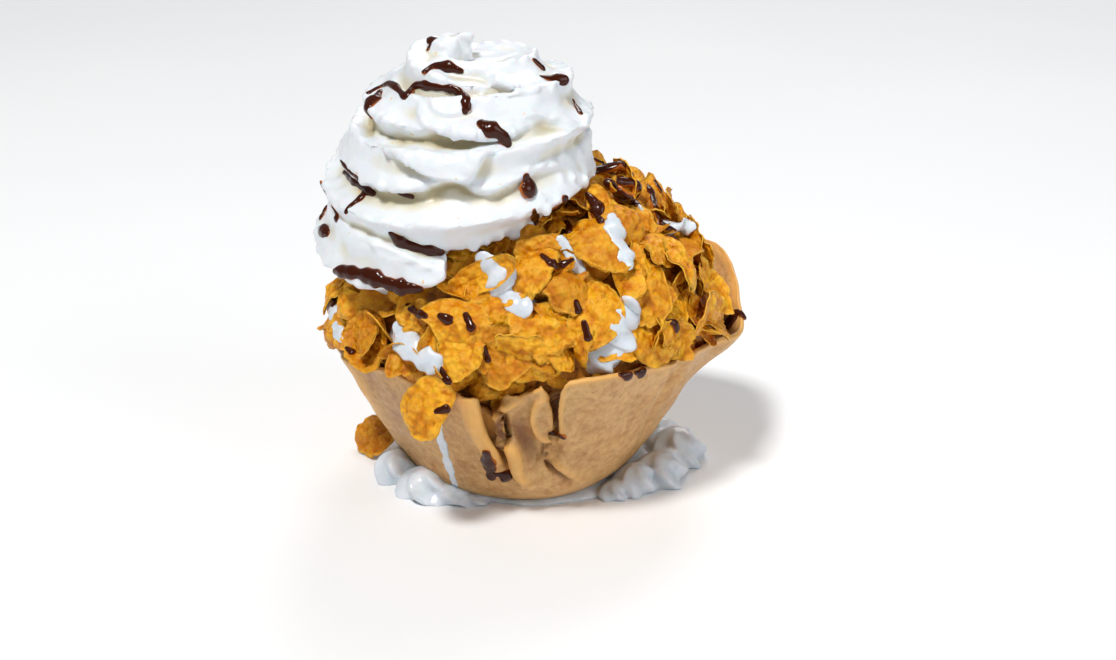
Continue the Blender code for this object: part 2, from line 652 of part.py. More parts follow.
def flake_specs():
    specs = [(FLAKE_SEED + k, spec) for k, spec in enumerate(FRONT_FLAKES)]
    first = FLAKE_SEED + len(FRONT_FLAKES)
    fillers = [s for s in filler_flakes() if not near_front_flake(s[0], s[1])]
    return specs + [(first + k, spec) for k, spec in enumerate(fillers)]


def free_axes(tilt, turn):
    """Axes of a flake turned by three angles about X, Y and Z, for one that lies off the core."""
    cx, cy, cz = (math.cos(a) for a in tilt)
    sx, sy, sz = (math.sin(a) for a in tilt)
    about_x = np.array([[1, 0, 0], [0, cx, -sx], [0, sx, cx]])
    about_y = np.array([[cy, 0, sy], [0, 1, 0], [-sy, 0, cy]])
    about_z = np.array([[cz, -sz, 0], [sz, cz, 0], [0, 0, 1]])
    frame = about_z @ about_y @ about_x
    length = turned(frame[:, 0], frame[:, 2], turn)
    return length, np.cross(frame[:, 2], length), frame[:, 2]


# Pieces
def build_shell(parts):
    points, faces, _, _ = bowl_surface(COLUMN_STEP, CORNER_ROWS, WALL_ROWS)
    shell = mesh_object("tortilla_shell", points, faces, parts)
    face_outwards(shell)
    wall = shell.modifiers.new("wall", "SOLIDIFY")
    wall.thickness = SHELL_THICKNESS
    wall.offset = -1
    return shell


def build_core(parts):
    points, faces = core_mesh(CORE_COLUMNS, CORE_ROWS)
    core = mesh_object("flaked_ice_cream", points, faces, parts)
    face_outwards(core)
    flakes = new_collection("flakes")
    hang_centre, size, ratio, turn, bulge = HANGING_FLAKE
    axes = free_axes(HANGING_TILT, turn)
    hanging = flake_points(FLAKE_SEED - 1, FLAKE_SIDES, np.array(hang_centre), axes, size, ratio,
                           bulge)
    meshes = [hanging]
    for seed, spec in flake_specs():
        settled = settled_flake(seed, FLAKE_SIDES, spec)
        if settled is not None:
            meshes.append(settled)
    for k, outline in enumerate(meshes):
        flake = mesh_object(f"flake_{k}", outline, flake_faces(FLAKE_SIDES), flakes)
        face_outwards(flake)
    fuse(core, flakes)
    thin_out(core, FLAKED_TRIANGLES)
    return core


def surface_tree(obj):
    bpy.context.view_layer.update()
    graph = bpy.context.evaluated_depsgraph_get()
    return BVHTree.FromObject(obj, graph)


def sauce_line(name, tree, width, places, collection):
    """A strand of sauce half sunk in what it lies on, along places seen from the front."""
    eye = Vector(VIEW_POINT)
    middle = []
    for x, z in places:
        hit, normal, _, _ = tree.ray_cast(eye, (Vector((x, 0.0, z)) - eye).normalized())
        if hit is not None:
            middle.append((hit, normal))
    rings = []
    for k, (hit, normal) in enumerate(middle):
        before, after = middle[max(k - 1, 0)][0], middle[min(k + 1, len(middle) - 1)][0]
        forward = (after - before).normalized()
        side = forward.cross(normal).normalized()
        out = side.cross(forward)
        half = 0.5 * width * (SAUCE_END_WIDTH if k in (0, len(middle) - 1) else 1.0)
        rings.append([
            hit + half * (math.cos(a) * side + SAUCE_FLATNESS * math.sin(a) * out)
            for a in np.linspace(0, 2 * math.pi, SAUCE_SIDES, endpoint=False)
        ])
    tips = []
    for end, step in ((0, 1), (-1, -2)):
        away = (middle[end][0] - middle[step][0]).normalized()
        tips.append(middle[end][0] + SAUCE_TIP * width * away)
    points = [p for ring in rings for p in ring] + tips
    faces = grid_faces(len(rings), SAUCE_SIDES)
    last = (len(rings) - 1) * SAUCE_SIDES
    for c in range(SAUCE_SIDES):
        after = (c + 1) % SAUCE_SIDES
        faces.append((len(points) - 2, after, c))
        faces.append((last + c, last + after, len(points) - 1))
    strand = mesh_object(name, points, faces, collection)
    face_outwards(strand)
    return strand


def build_cream(parts, cutters):
    points, faces = cream_rope(CREAM_STEPS_PER_TURN, CREAM_SECTION_POINTS)
    cream = mesh_object("whipped_cream", points, faces, parts)
    face_outwards(cream)
    skin = cream.modifiers.new("skin", "REMESH")
    skin.mode = "VOXEL"
    skin.voxel_size = CREAM_VOXEL
    apply_modifiers(cream)
    thin_out(cream, CREAM_TRIANGLES)
    points, faces = core_mesh(CORE_COLUMNS, CORE_ROWS, CREAM_SEAT_GAP)
    hollow = mesh_object("core_space", points, faces, cutters)
    face_outwards(hollow)
    hide_cutter(hollow)
    cut = cream.modifiers.new("seat", "BOOLEAN")
    cut.operation = "DIFFERENCE"
    cut.object = hollow
    apply_modifiers(cream)
    keep_main_body(cream)
    tree = surface_tree(cream)
    sauce = new_collection("cream_sauce")
    for k, (width, *places) in enumerate(CREAM_SAUCE):
        sauce_line(f"sauce_{k}", tree, width, places, sauce)
    fuse(cream, sauce)
    return cream


def add_shell_sauce(shell):
    apply_modifiers(shell)
    tree = surface_tree(shell)
    sauce = new_collection("shell_sauce")
    for k, (width, *places) in enumerate(SHELL_SAUCE):
        sauce_line(f"shell_sauce_{k}", tree, width, places, sauce)
    fuse(shell, sauce)


def lump_points(azimuth, distance, radius, height, columns=12, rows=6):
    """A small peaked lump standing on the floor, ridged like piped cream."""
    centre = distance * direction(np.array(float(azimuth)))
    around = np.linspace(0, 2 * np.pi, columns, endpoint=False)
    rings = []
    for row in range(rows):
        share = row / rows
        width = radius * math.sqrt(1 - share ** 1.6) * (1 + 0.14 * np.cos(4 * around + azimuth))
        ring = np.stack([width * np.cos(around), width * np.sin(around),
                         np.full(columns, height * share)], axis=-1)
        rings.append(ring + centre)
    top = centre + np.array([0.0, 0.0, height])
    return np.concatenate([*rings, [centre], [top]]), rows, columns


def closed_rings(rows, columns):
    faces = grid_faces(rows, columns)
    last = (rows - 1) * columns
    for c in range(columns):
        after = (c + 1) % columns
        faces.append((rows * columns, after, c))
        faces.append((last + c, last + after, rows * columns + 1))
    return faces


def build_foot_cream(parts, cutters):
    """A low ring of melted cream with lumps on it, cut clear of the bowl."""
    azimuth = np.linspace(-180.0, 180.0, 40, endpoint=False)
    wobble = np.sin(np.radians(5 * azimuth)) + np.cos(np.radians(9 * azimuth))
    outer = round_the_bowl(FOAM_REACHES, azimuth) + 0.0005 * wobble
    inner = round_the_bowl(FOOT_RADII, azimuth) + FOAM_UNDERLAP
    profile = ((-1.0, 0.0), (-0.8, 0.9), (0.0, 1.0), (0.75, 0.65), (1.0, 0.0))
    rings = []
    for across, up in profile:
        radius = 0.5 * (outer + inner) + 0.5 * across * (outer - inner)
        ring = radius[:, None] * direction(azimuth)
        ring[:, 2] = up * FOAM_HEIGHT
        rings.append(ring)
    points = np.concatenate([*rings, rings[0]])
    strip = mesh_object("base_cream", points, grid_faces(len(rings) + 1, len(azimuth)), parts)
    edit = bmesh.new()
    edit.from_mesh(strip.data)
    bmesh.ops.remove_doubles(edit, verts=edit.verts, dist=1e-6)
    edit.to_mesh(strip.data)
    edit.free()
    face_outwards(strip)
    lumps = new_collection("lumps")
    for k, lump in enumerate(FOOT_LUMPS):
        points, rows, columns = lump_points(*lump)
        face_outwards(mesh_object(f"lump_{k}", points, closed_rings(rows, columns), lumps))
    fuse(strip, lumps)
    points, faces, rows, columns = bowl_surface(COLUMN_STEP, CORNER_ROWS, WALL_ROWS, -2 * GAP)
    points = np.concatenate([points, [[0.0, 0.0, 0.030]]])
    last = (rows - 1) * columns
    faces += [(last + c, last + (c + 1) % columns, len(points) - 1) for c in range(columns)]
    space = mesh_object("bowl_space", points + np.array([0, 0, -2 * GAP]), faces, cutters)
    face_outwards(space)
    hide_cutter(space)
    cut = strip.modifiers.new("clear_of_bowl", "BOOLEAN")
    cut.operation = "DIFFERENCE"
    cut.object = space
    apply_modifiers(strip)
    keep_main_body(strip)
    thin_out(strip, FOOT_CREAM_TRIANGLES)
    return strip


def build_fallen_flake(parts):
    centre, size, ratio, turn, bulge = FALLEN_FLAKE
    points = flake_points(FLAKE_SEED - 2, FLAKE_SIDES, np.array(centre),
                          free_axes(FALLEN_TILT, turn), size, ratio, bulge)
    points[:, 2] -= points[:, 2].min()
    flake = mesh_object("fallen_flake", points, flake_faces(FLAKE_SIDES), parts)
    face_outwards(flake)
    return flake


def main():
    clear_scene()
    parts = new_collection(OBJECT_NAME)
    cutters = new_collection("cutters")
    tortilla = material("fried_tortilla", (0.58, 0.33, 0.13), 0.55)
    flaked = material("flakes_and_ice_cream", (0.70, 0.34, 0.05), 0.45, 0.2)
    whipped = material("whipped_cream", (0.90, 0.89, 0.86), 0.35)
    melted = material("melted_cream", (0.86, 0.87, 0.88), 0.3, 0.3)
    flake = material("corn_flake", (0.70, 0.36, 0.05), 0.5)
    shell = build_shell(parts)
    add_shell_sauce(shell)
    finish_node(shell, tortilla)
    finish_node(build_core(parts), flaked, 25)
    finish_node(build_cream(parts, cutters), whipped)
    finish_node(build_foot_cream(parts, cutters), melted)
    finish_node(build_fallen_flake(parts), flake)


main()
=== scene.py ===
# Looks of the fried ice cream, dressed over its solids: metres, +Z up, the front facing -Y.
import math
import bmesh
import bpy
import numpy as np
from mathutils import Matrix, Vector, noise
from mathutils.bvhtree import BVHTree


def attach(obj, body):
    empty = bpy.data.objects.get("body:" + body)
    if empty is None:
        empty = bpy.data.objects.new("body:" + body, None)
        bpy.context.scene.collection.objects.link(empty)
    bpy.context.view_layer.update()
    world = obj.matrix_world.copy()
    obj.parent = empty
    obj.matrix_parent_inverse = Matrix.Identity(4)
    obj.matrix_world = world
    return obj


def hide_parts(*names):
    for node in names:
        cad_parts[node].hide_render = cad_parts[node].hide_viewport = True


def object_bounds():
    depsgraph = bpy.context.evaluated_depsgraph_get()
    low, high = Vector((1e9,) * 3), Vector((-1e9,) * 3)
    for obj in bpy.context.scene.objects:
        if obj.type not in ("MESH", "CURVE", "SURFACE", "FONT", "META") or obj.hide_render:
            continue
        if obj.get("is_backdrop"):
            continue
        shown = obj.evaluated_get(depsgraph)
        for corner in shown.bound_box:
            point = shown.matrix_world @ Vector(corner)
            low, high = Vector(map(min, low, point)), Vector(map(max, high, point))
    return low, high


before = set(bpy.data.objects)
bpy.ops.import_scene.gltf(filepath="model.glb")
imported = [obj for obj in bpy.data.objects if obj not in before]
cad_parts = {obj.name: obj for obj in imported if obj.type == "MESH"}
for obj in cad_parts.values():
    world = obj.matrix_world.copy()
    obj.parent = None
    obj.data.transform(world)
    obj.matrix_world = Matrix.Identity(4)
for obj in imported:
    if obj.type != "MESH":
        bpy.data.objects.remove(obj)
cad_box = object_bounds()

MM = 0.001

# Tortilla bowl, as in the solids: a flat foot, a round corner, then a straight flared wall
CORNER_RADIUS = 0.022
WALL_ANGLE = math.radians(62)
REACH_HEIGHT = 0.048
CORNER_TOP = CORNER_RADIUS * (1 - math.cos(WALL_ANGLE))
FULL_RUN = (CORNER_RADIUS * math.sin(WALL_ANGLE)
            + (REACH_HEIGHT - CORNER_TOP) / math.tan(WALL_ANGLE))
SHELL_THICKNESS = 0.0024
GAP = 0.0004
# Azimuth in degrees, 0 at the front and 90 at the right, then the value there
RIM_HEIGHTS = (
    (-178, 0.050), (-150, 0.056), (-120, 0.050), (-94, 0.0435), (-72, 0.045), (-53, 0.0475),
    (-30, 0.047), (-8, 0.047), (20, 0.053), (45, 0.050), (70, 0.048), (84, 0.0465),
    (94, 0.047), (106, 0.058), (120, 0.066), (138, 0.062), (160, 0.053),
)
FOOT_RADII = (
    (-178, 0.025), (-120, 0.027), (-90, 0.028), (-50, 0.0285), (-15, 0.0260), (10, 0.0248),
    (35, 0.022), (65, 0.0195), (95, 0.019), (130, 0.022),
)
WALL_REACHES = (
    (-178, 0.0602), (-150, 0.0625), (-120, 0.0660), (-94, 0.0695), (-72, 0.0625),
    (-53, 0.0586), (-30, 0.0571), (-8, 0.0555), (20, 0.0567), (45, 0.0552), (70, 0.0575),
    (84, 0.0610), (94, 0.0630), (106, 0.0655), (120, 0.0637), (138, 0.0625), (160, 0.0594),
)
# The rim's tip at the right: azimuth, half width, reach, start height, rise
PINCHED_TIP = (93.0, 9.0, 0.0090, 0.028, 0.018)
# Pleats: azimuth at the rim, its change down to the foot, half width in degrees, inward depth,
# rim dip and sideways slant in degrees. A negative depth is a roll that stands out. Those at
# the front are shallower than in the solids, and the ridges and creases below finish them.
PLEATS = (
    (-12.8, 5.0, 2.9, 0.0045, 0.020, 0),
    (-20.0, 9.0, 3.4, -0.0010, 0.0, 0),
    (-2.5, 8.0, 5.0, 0.0026, 0.003, 0),
    (7.7, 3.0, 2.3, 0.0035, 0.015, 0),
    (61.0, 0.0, 4.5, 0.0030, 0.003, 20),
    (149.0, -5.0, 3.4, 0.0070, 0.018, 16),
    (142.0, -8.0, 3.4, -0.0026, 0.0, 0),
    (-164.0, 5.0, 3.6, 0.0075, 0.020, -16),
    (-156.0, 6.0, 3.4, -0.0026, 0.0, 0),
    (-128.0, 4.0, 4.0, 0.0055, 0.012, 20),
    (-74.0, 0.0, 5.0, -0.0022, 0.0, 0),
)
RIM_DIP = 0.5
PLEAT_SWAY = 0.5
# Rolled edges and creases of the front folds, as strands below: height and half width in
# millimetres, then places. A crease has a negative height.
SHELL_RIDGES = (
    (3.4, 3.3, (-25.3, 27.5), (-21.7, 22.1), (-19.1, 15.5), (-16.2, 8.9), (-12.6, 2.6),
     (-10.4, -1.0)),
    (-5.0, 1.7, (-16.4, 26.5), (-15.6, 20.0), (-14.9, 14.5), (-13.4, 9.6), (-10.6, 4.6),
     (-8.8, 1.0)),
    (3.6, 1.7, (-4.6, 22.8), (-8.4, 21.2), (-11.4, 18.0), (-11.9, 14.0), (-9.8, 9.2), (-6.4, 5.0),
     (-5.4, 0.7), (-4.6, -4.5), (-1.4, -8.6)),
    (-4.2, 1.4, (7.6, 25.5), (7.6, 20.4), (7.9, 15.4), (8.1, 12.6)),
    (2.0, 1.2, (5.4, 25.0), (2.2, 22.2), (0.6, 18.8), (0.6, 14.6), (2.4, 10.4), (5.2, 8.2),
     (8.6, 8.2)),
    (1.5, 0.9, (4.9, 22.6), (5.7, 17.6), (6.0, 12.8), (8.0, 10.9)),
    (2.0, 1.0, (10.8, 27.0), (10.1, 22.0), (9.9, 16.0), (10.2, 10.7), (9.6, 8.4)),
    (-1.8, 1.0, (3.4, 7.0), (4.4, 0.7), (8.2, -4.0), (14.0, -8.2)),
    (1.3, 1.8, (6.2, 6.0), (7.2, 1.0), (10.8, -3.2), (16.0, -6.6)),
    (-1.2, 3.0, (-5.4, 17.0), (-4.6, 12.0), (-1.8, 6.0), (0.6, -1.0)),
)
FRONT_FOLDS = (-28.0, 20.0, 0.5)
PLEAT_START = 0.006
PLEAT_RUN = 0.026
BUBBLE_SIZE = 0.0075
BUBBLE_HEIGHT = 0.0005
# Unevenness of a surface, in layers: height and size in metres, then the noise's seed
SHELL_SWELLS = ((0.0009, 0.020, 3), (0.0005, 0.0085, 5))
RIM_ROUNDING = 0.0007
RIM_RIPPLES = ((0.0006, 0.007, 11), (0.0004, 0.0026, 13))
SHELL_COLUMN_STEP = 1.1
SHELL_CORNER_ROWS = 10
SHELL_WALL_ROWS = 56

# Ice cream ball, as in the solids: an ellipsoid that the bowl's inner wall trims
CORE_CENTRE = (-0.002, 0.0, 0.050)
CORE_AXES = (0.0585, 0.0505, 0.0495)
CORE_CLEARANCE = 0.0010
CORE_TRIM_ABOVE_RIM = 0.012
CORE_COLUMNS = 220
CORE_ROWS = 110
CORE_SWELLS = ((0.0010, 0.008, 21), (0.0005, 0.003, 23))

# Whipped cream, as in the solids: a rope wound clockwise up a cone, stations by turn. Only its
# upper turns stand up to 3 mm further left.
CREAM_AXIS = ((0.0, -0.0240), (1.5, -0.0223), (3.0, -0.0200), (4.1, -0.0200), (4.7, -0.0248))
CREAM_AXIS_Y = -0.0035
CREAM_REACH = ((0.0, 0.0440), (0.25, 0.0455), (1.0, 0.0440), (2.0, 0.0405), (3.0, 0.0338),
               (4.0, 0.0262), (4.35, 0.0170), (4.7, 0.0075))
CREAM_ROPE = ((0.005, 0.0030), (0.05, 0.0090), (0.10, 0.0118), (0.25, 0.0135), (0.75, 0.0105),
              (1.5, 0.0100), (3.0, 0.0092), (4.0, 0.0085), (4.4, 0.0078), (4.7, 0.0050))
CREAM_HEIGHT = ((0.0, 0.0915), (1.0, 0.1040), (2.0, 0.1165), (3.0, 0.1260), (4.0, 0.1325),
                (4.35, 0.1370), (4.7, 0.1430))
CREAM_LEAN_X = ((0.0, 0.28), (2.0, 0.22), (3.0, 0.15), (4.0, 0.05), (4.7, 0.0))
CREAM_LEAN_Y = ((0.0, 0.20), (2.0, 0.12), (4.0, 0.03), (4.7, 0.0))
CREAM_START = 0.005
CREAM_END = 4.7
CREAM_POINTS = 5
POINT_REACH = 1.07
SCOOP_DEPTH = 0.30
FIRST_POINT = math.radians(-38)
POINT_TWIST = 0.30
CREAM_STEPS_PER_TURN = 150
CREAM_SECTION_POINTS = 140
CREAM_VOXEL = 0.0008
CREAM_LUMPS = ((0.0007, 0.011, 31), (0.0004, 0.0045, 33))
CREAM_TEARS = ((0.0013, 0.0035, 35),)
CREST_ROUNDS = 12
CREST_HEIGHT = 0.00030
# Painted shade in the cream's valleys: how widely a valley is measured, the depth where the shade
# starts, and the depth over which it grows to full
VALLEY_ROUNDS = 110
VALLEY_START = 0.0001
VALLEY_DEPTH = 0.0013
# Fold lips of the cream, as strands below: depth and reach in millimetres, then places. The
# crest is on the left of the way the line runs and the valley on its right.
FOLD_LIPS = (
    (2.2, 6.0, (-60.3, 106.4), (-57.3, 100.8), (-51.1, 96.5), (-42.2, 94.8), (-34.1, 95.8),
     (-27.0, 98.2), (-22.2, 97.8), (-16.5, 95.2), (-10.1, 95.5), (-3.7, 99.1), (2.8, 101.8),
     (9.1, 103.1)),
    (2.4, 5.5, (-48.6, 119.4), (-49.8, 112.9), (-46.8, 108.0), (-40.2, 105.4), (-34.0, 101.5),
     (-26.7, 99.1), (-20.9, 98.8), (-17.3, 103.1), (-13.1, 108.4), (-7.4, 111.3), (-2.0, 112.9)),
    (2.2, 4.5, (-34.9, 126.5), (-36.3, 121.3), (-33.9, 116.5), (-28.9, 114.2), (-20.0, 113.2),
     (-11.5, 112.6), (-5.1, 114.5), (1.2, 117.1)),
    (1.0, 2.8, (-32.4, 125.8), (-31.2, 122.0), (-27.2, 119.7), (-22.4, 120.4), (-18.6, 123.9),
     (-19.8, 127.4)),
    (1.9, 4.5, (-33.3, 136.0), (-28.4, 134.7), (-21.5, 134.1), (-14.3, 132.8), (-9.7, 129.6),
     (-4.1, 127.4), (1.3, 128.4), (6.0, 130.9)),
    (1.5, 4.0, (-3.5, 118.8), (1.2, 119.4), (6.0, 118.1), (13.9, 116.8), (17.4, 112.9)),
    (1.2, 3.0, (16.4, 119.4), (16.7, 113.9), (15.5, 107.4), (17.4, 100.8)),
)
# Drips at the cream's torn edge: width and length in millimetres, then the place
CREAM_DRIPS = (
    (4.2, 8.0, (-1.4, 95.8)), (3.2, 8.5, (0.4, 85.5)), (3.6, 6.0, (5.0, 91.8)),
    (3.0, 6.0, (18.7, 109.0)), (3.0, 5.0, (17.5, 99.5)), (3.4, 5.0, (13.3, 99.8)),
    (2.6, 6.0, (20.0, 104.1)), (4.0, 5.0, (-5.4, 81.5)), (3.6, 4.6, (-10.3, 81.0)),
    (4.4, 5.0, (-18.7, 78.0)), (3.8, 5.0, (-23.7, 74.6)), (3.2, 5.0, (9.5, 99.8)),
    (3.0, 5.6, (2.7, 93.8)), (3.0, 5.0, (-3.0, 84.8)), (3.0, 4.0, (-14.6, 79.0)),
)
DRIP_SINK = 0.4
DRIP_FALL = 0.12
# Centre and radii of the knob at the top
CREAM_KNOB = ((-0.0264, -0.0035, 0.1415), (0.0052, 0.0050, 0.0046))

# Corn flakes, from the same draws as in the solids
FLAKE_SEED = 4100
FLAKE_SPACING = 13.2
FRONT_FLAKE_ROOM = 10.3
CREAM_MARGIN = 0.0009
BOWL_MARGIN = 0.0012
CREAM_CROSSING = -0.0015
SETTLING_STEPS = 9
SETTLING_SHIFT = 2.0
SETTLING_SHRINK = 0.985
FILLER_LOWEST = -16
TEST_SIDES = 9
# Azimuth and elevation in degrees on the core, length, width as a share of it, turn, lean and
# sway in degrees, lift off the core, bulge of the middle
FRONT_FLAKES = (
    (-19, 30, 0.0235, 0.68, -20, 12, 6, 0.0052, 0.0028),
    (-20, 13, 0.0220, 0.88, 35, 8, -6, 0.0050, 0.0022),
    (-6, 5, 0.0195, 0.90, -15, 6, 4, 0.0045, 0.0022),
    (3, 1, 0.0170, 0.90, 20, 2, 12, 0.0028, 0.0020),
    (-13, 44, 0.0235, 0.42, 28, -30, -18, 0.0042, -0.0022),
    (3, 38, 0.0175, 0.78, 62, 12, -22, 0.0040, 0.0018),
    (6, 19, 0.0200, 0.86, -30, 10, 8, 0.0040, 0.0020),
    (1, 13, 0.0205, 0.46, -24, -42, 0, 0.0046, 0.0016),
    (-54, 19, 0.0200, 0.72, -38, 18, -10, 0.0040, 0.0020),
    (-52, 8, 0.0205, 0.70, -50, 26, 12, 0.0034, -0.0018),
    (-35, 8, 0.0150, 0.55, 5, -30, 0, 0.0034, -0.0022),
    (-29, 23, 0.0150, 0.60, -40, 10, 20, 0.0022, 0.0016),
    (-7, 26, 0.0170, 0.62, 30, 20, -14, 0.0030, 0.0016),
    (-10, 13, 0.0150, 0.45, 80, 4, 50, 0.0034, 0.0014),
    (30, 45, 0.0220, 0.72, -62, 12, -10, 0.0052, 0.0024),
    (14, 32, 0.0165, 0.90, -30, 14, 10, 0.0040, 0.0018),
    (22, 22, 0.0215, 0.70, 58, 10, -8, 0.0050, 0.0020),
    (51, 48, 0.0205, 0.56, -38, -20, 10, 0.0048, 0.0026),
    (76, 60, 0.0180, 0.50, -20, -22, 0, 0.0044, -0.0020),
    (100, 58, 0.0190, 0.66, 20, -34, -10, 0.0052, -0.0026),
    (95, 43, 0.0210, 0.50, -50, -38, 8, 0.0050, -0.0026),
    (86, 31, 0.0190, 0.80, 70, -24, 12, 0.0042, -0.0030),
    (65, 31, 0.0220, 0.70, 75, 2, 20, 0.0044, 0.0022),
    (42, 25, 0.0200, 0.66, 66, 6, -12, 0.0052, 0.0022),
    (50, 16, 0.0210, 0.60, 30, 16, 14, 0.0036, 0.0018),
    (41, 8, 0.0175, 0.85, 0, 8, 0, 0.0040, 0.0020),
    (53, 8, 0.0160, 0.62, -40, 4, 24, 0.0042, 0.0018),
    (30, 7, 0.0180, 0.70, 25, 18, -10, 0.0034, 0.0018),
    (36, 33, 0.0180, 0.60, 80, 24, 0, 0.0036, -0.0022),
    (46, 38, 0.0130, 0.62, 75, 4, 34, 0.0038, 0.0014),
    (58, 38, 0.0165, 0.80, 10, 10, 8, 0.0040, 0.0018),
    (17, 8, 0.0170, 0.45, 75, 0, -55, 0.0036, 0.0014),
    (9, 47, 0.0200, 0.42, 0, -40, 0, 0.0038, 0.0014),
    (42, 63, 0.0180, 0.50, 80, -10, -48, 0.0046, -0.0018),
    (-76, 15, 0.0190, 0.72, 60, 20, -12, 0.0036, 0.0020),
    (-66, 6, 0.0160, 0.70, 10, 24, 14, 0.0030, 0.0018),
    (10, 9, 0.0160, 0.70, -60, 12, 30, 0.0030, 0.0016),
    (-36, 16, 0.0140, 0.60, 70, -14, 18, 0.0026, 0.0014),
)
# Centre, length, width share, turn and bulge of the flakes that lie off the ball
HANGING_FLAKE = ((-0.0315, -0.0560, 0.0440), 0.0200, 0.84, 62, 0.0016)
HANGING_TILT = (math.radians(72), 0.0, math.radians(-30))
HANGING_BEND = 0.3
FALLEN_FLAKE = ((-0.0545, 0.0080, 0.0048), 0.0190, 0.78, 30, 0.0018)
FALLEN_TILT = (math.radians(34), math.radians(24), math.radians(-80))
# Small flakes that fill the gaps down to the rim, but not where the ice cream shows. Such a
# place is given by its azimuth, elevation and reach in degrees.
UNDER_SPACING = 9.4
UNDER_TRIES = 6
UNDER_LOWEST = -26
UNDER_CREAM_MARGIN = -0.004
UNDER_BEND = 0.6
UNDER_SHRINK = 0.82
UNDER_SINK = 0.0003
# How much darker the under flakes and the extra flakes are painted: painted shade, as they lie
# deep between the others
UNDER_PAINTED_SHADE = 0.28
EXTRA_PAINTED_SHADE = 0.15
CRUMB_COUNT = 90
WALL_ROOM = 0.0001
OPEN_PATCHES = ((-10, 39, 5), (-5, 32, 5), (-1, 26, 4), (40, 29, 3.5), (36, 23, 3.5),
                (31, 16, 4), (25, 9, 5), (-40, 12, 4), (-33, 8, 4), (-27, 4, 3.5), (57, 52, 4),
                (46, 42, 3.5), (-84, 26, 5), (-13, 14, 3.5), (150, 30, 6), (-140, 18, 5),
                (178, 12, 4), (-165, 35, 5), (115, 20, 4))
PATCH_SWELL = 0.0022
# Flakes pushed down between the ball and the front rim, then five that stand up at the upper
# right, all given as the front flakes are
EXTRA_FLAKES = (
    (-24, 0, 0.0150, 0.75, 20, 30, 10, 0.0020, 0.0014),
    (-15, -2, 0.0155, 0.80, -30, 26, -14, 0.0022, 0.0014),
    (-6, -4, 0.0150, 0.80, 60, 32, 8, 0.0024, 0.0012),
    (2, -5, 0.0150, 0.75, -15, 24, -20, 0.0024, 0.0014),
    (10, -3, 0.0150, 0.70, 40, 30, 14, 0.0024, 0.0014),
    (17, -1, 0.0145, 0.80, -50, 22, -8, 0.0022, 0.0014),
    (24, 0, 0.0140, 0.75, 10, 28, 16, 0.0020, 0.0012),
    (-34, 1, 0.0140, 0.75, -20, 26, -10, 0.0020, 0.0012),
    (126, 58, 0.0190, 0.70, 30, 0, -50, 0.0045, 0.0016),
    (117, 51, 0.0200, 0.72, -28, 4, -55, 0.0045, 0.0016),
    (110, 43, 0.0200, 0.68, 35, 0, -50, 0.0050, 0.0018),
    (104, 35, 0.0190, 0.72, -20, 0, -45, 0.0045, 0.0016),
    (98, 50, 0.0180, 0.75, 10, 10, -35, 0.0035, 0.0016),
)
# What the flakes have here besides: bumps, ragged rims and thin edges. First the rings
# and segments of each kind's mesh.
FLAKE_MESH = (8, 46)
UNDER_MESH = (6, 26)
CRUMB_MESH = (4, 20)
LOOSE_MESH = (14, 56)
FLAKE_THICKNESS = 0.0012
FLAKE_BEND = 0.0038
FLAKE_RAISE = 0.0008
FLAKE_GROWTH = 1.06
BLISTER_SIZE = 0.0030
BLISTER_HEIGHT = 0.0009
GRAIN_SIZE = 0.0015
GRAIN_HEIGHT = 0.0004
WAVE_SIZE = 0.0080
WAVE_HEIGHT = 0.0012

# Chocolate sauce: width in millimetres, then places (x, z) in millimetres in the plane through
# the axis, as seen from the view point. The cream's back is shaped from the one opposite.
VIEW_POINT = Vector((0.0085, -0.535, 0.249))
BACK_VIEW_POINT = Vector((-0.0085, 0.535, 0.249))
CREAM_SAUCE = (
    (2.6, (-33.1, 134.1), (-30.8, 136.0), (-26.5, 136.0), (-21.8, 134.4)),
    (2.2, (-50.9, 127.4), (-43.8, 130.6), (-39.3, 125.8), (-36.6, 130.0), (-28.5, 129.0),
     (-23.2, 128.4), (-20.1, 125.2), (-20.8, 121.6)),
    (3.0, (-23.6, 128.2), (-20.8, 126.2), (-20.2, 122.8)),
    (4.0, (-15.5, 117.5), (-12.4, 115.5), (-9.2, 113.9), (-7.4, 111.0)),
    (3.8, (-1.7, 100.5), (-1.1, 96.5)),
    (2.6, (-41.7, 137.2), (-40.6, 134.4)),
    (1.2, (-61.5, 106.7), (-57.9, 101.8), (-50.8, 95.8)),
    (2.8, (-59.5, 101.8), (-56.4, 98.8), (-50.5, 94.5)),
    (2.0, (-59.7, 88.5), (-57.7, 91.2), (-54.4, 93.2), (-53.3, 95.8)),
    (3.4, (-68.4, 83.1), (-65.9, 81.4)),
    (3.6, (-45.2, 81.1), (-42.7, 78.7), (-37.9, 76.7), (-29.8, 75.0)),
    (4.0, (-65.2, 68.1), (-59.3, 68.1), (-52.2, 66.4), (-44.8, 63.3), (-36.7, 62.2),
     (-31.5, 60.9)),
    (2.6, (-29.7, 65.7), (-28.1, 64.3), (-25.2, 63.3)),
    (2.4, (1.2, 137.6), (3.4, 135.4)),
    (1.6, (13.2, 125.2), (15.4, 121.0)),
    (1.4, (-42.5, 94.6), (-38.2, 93.6)),
)
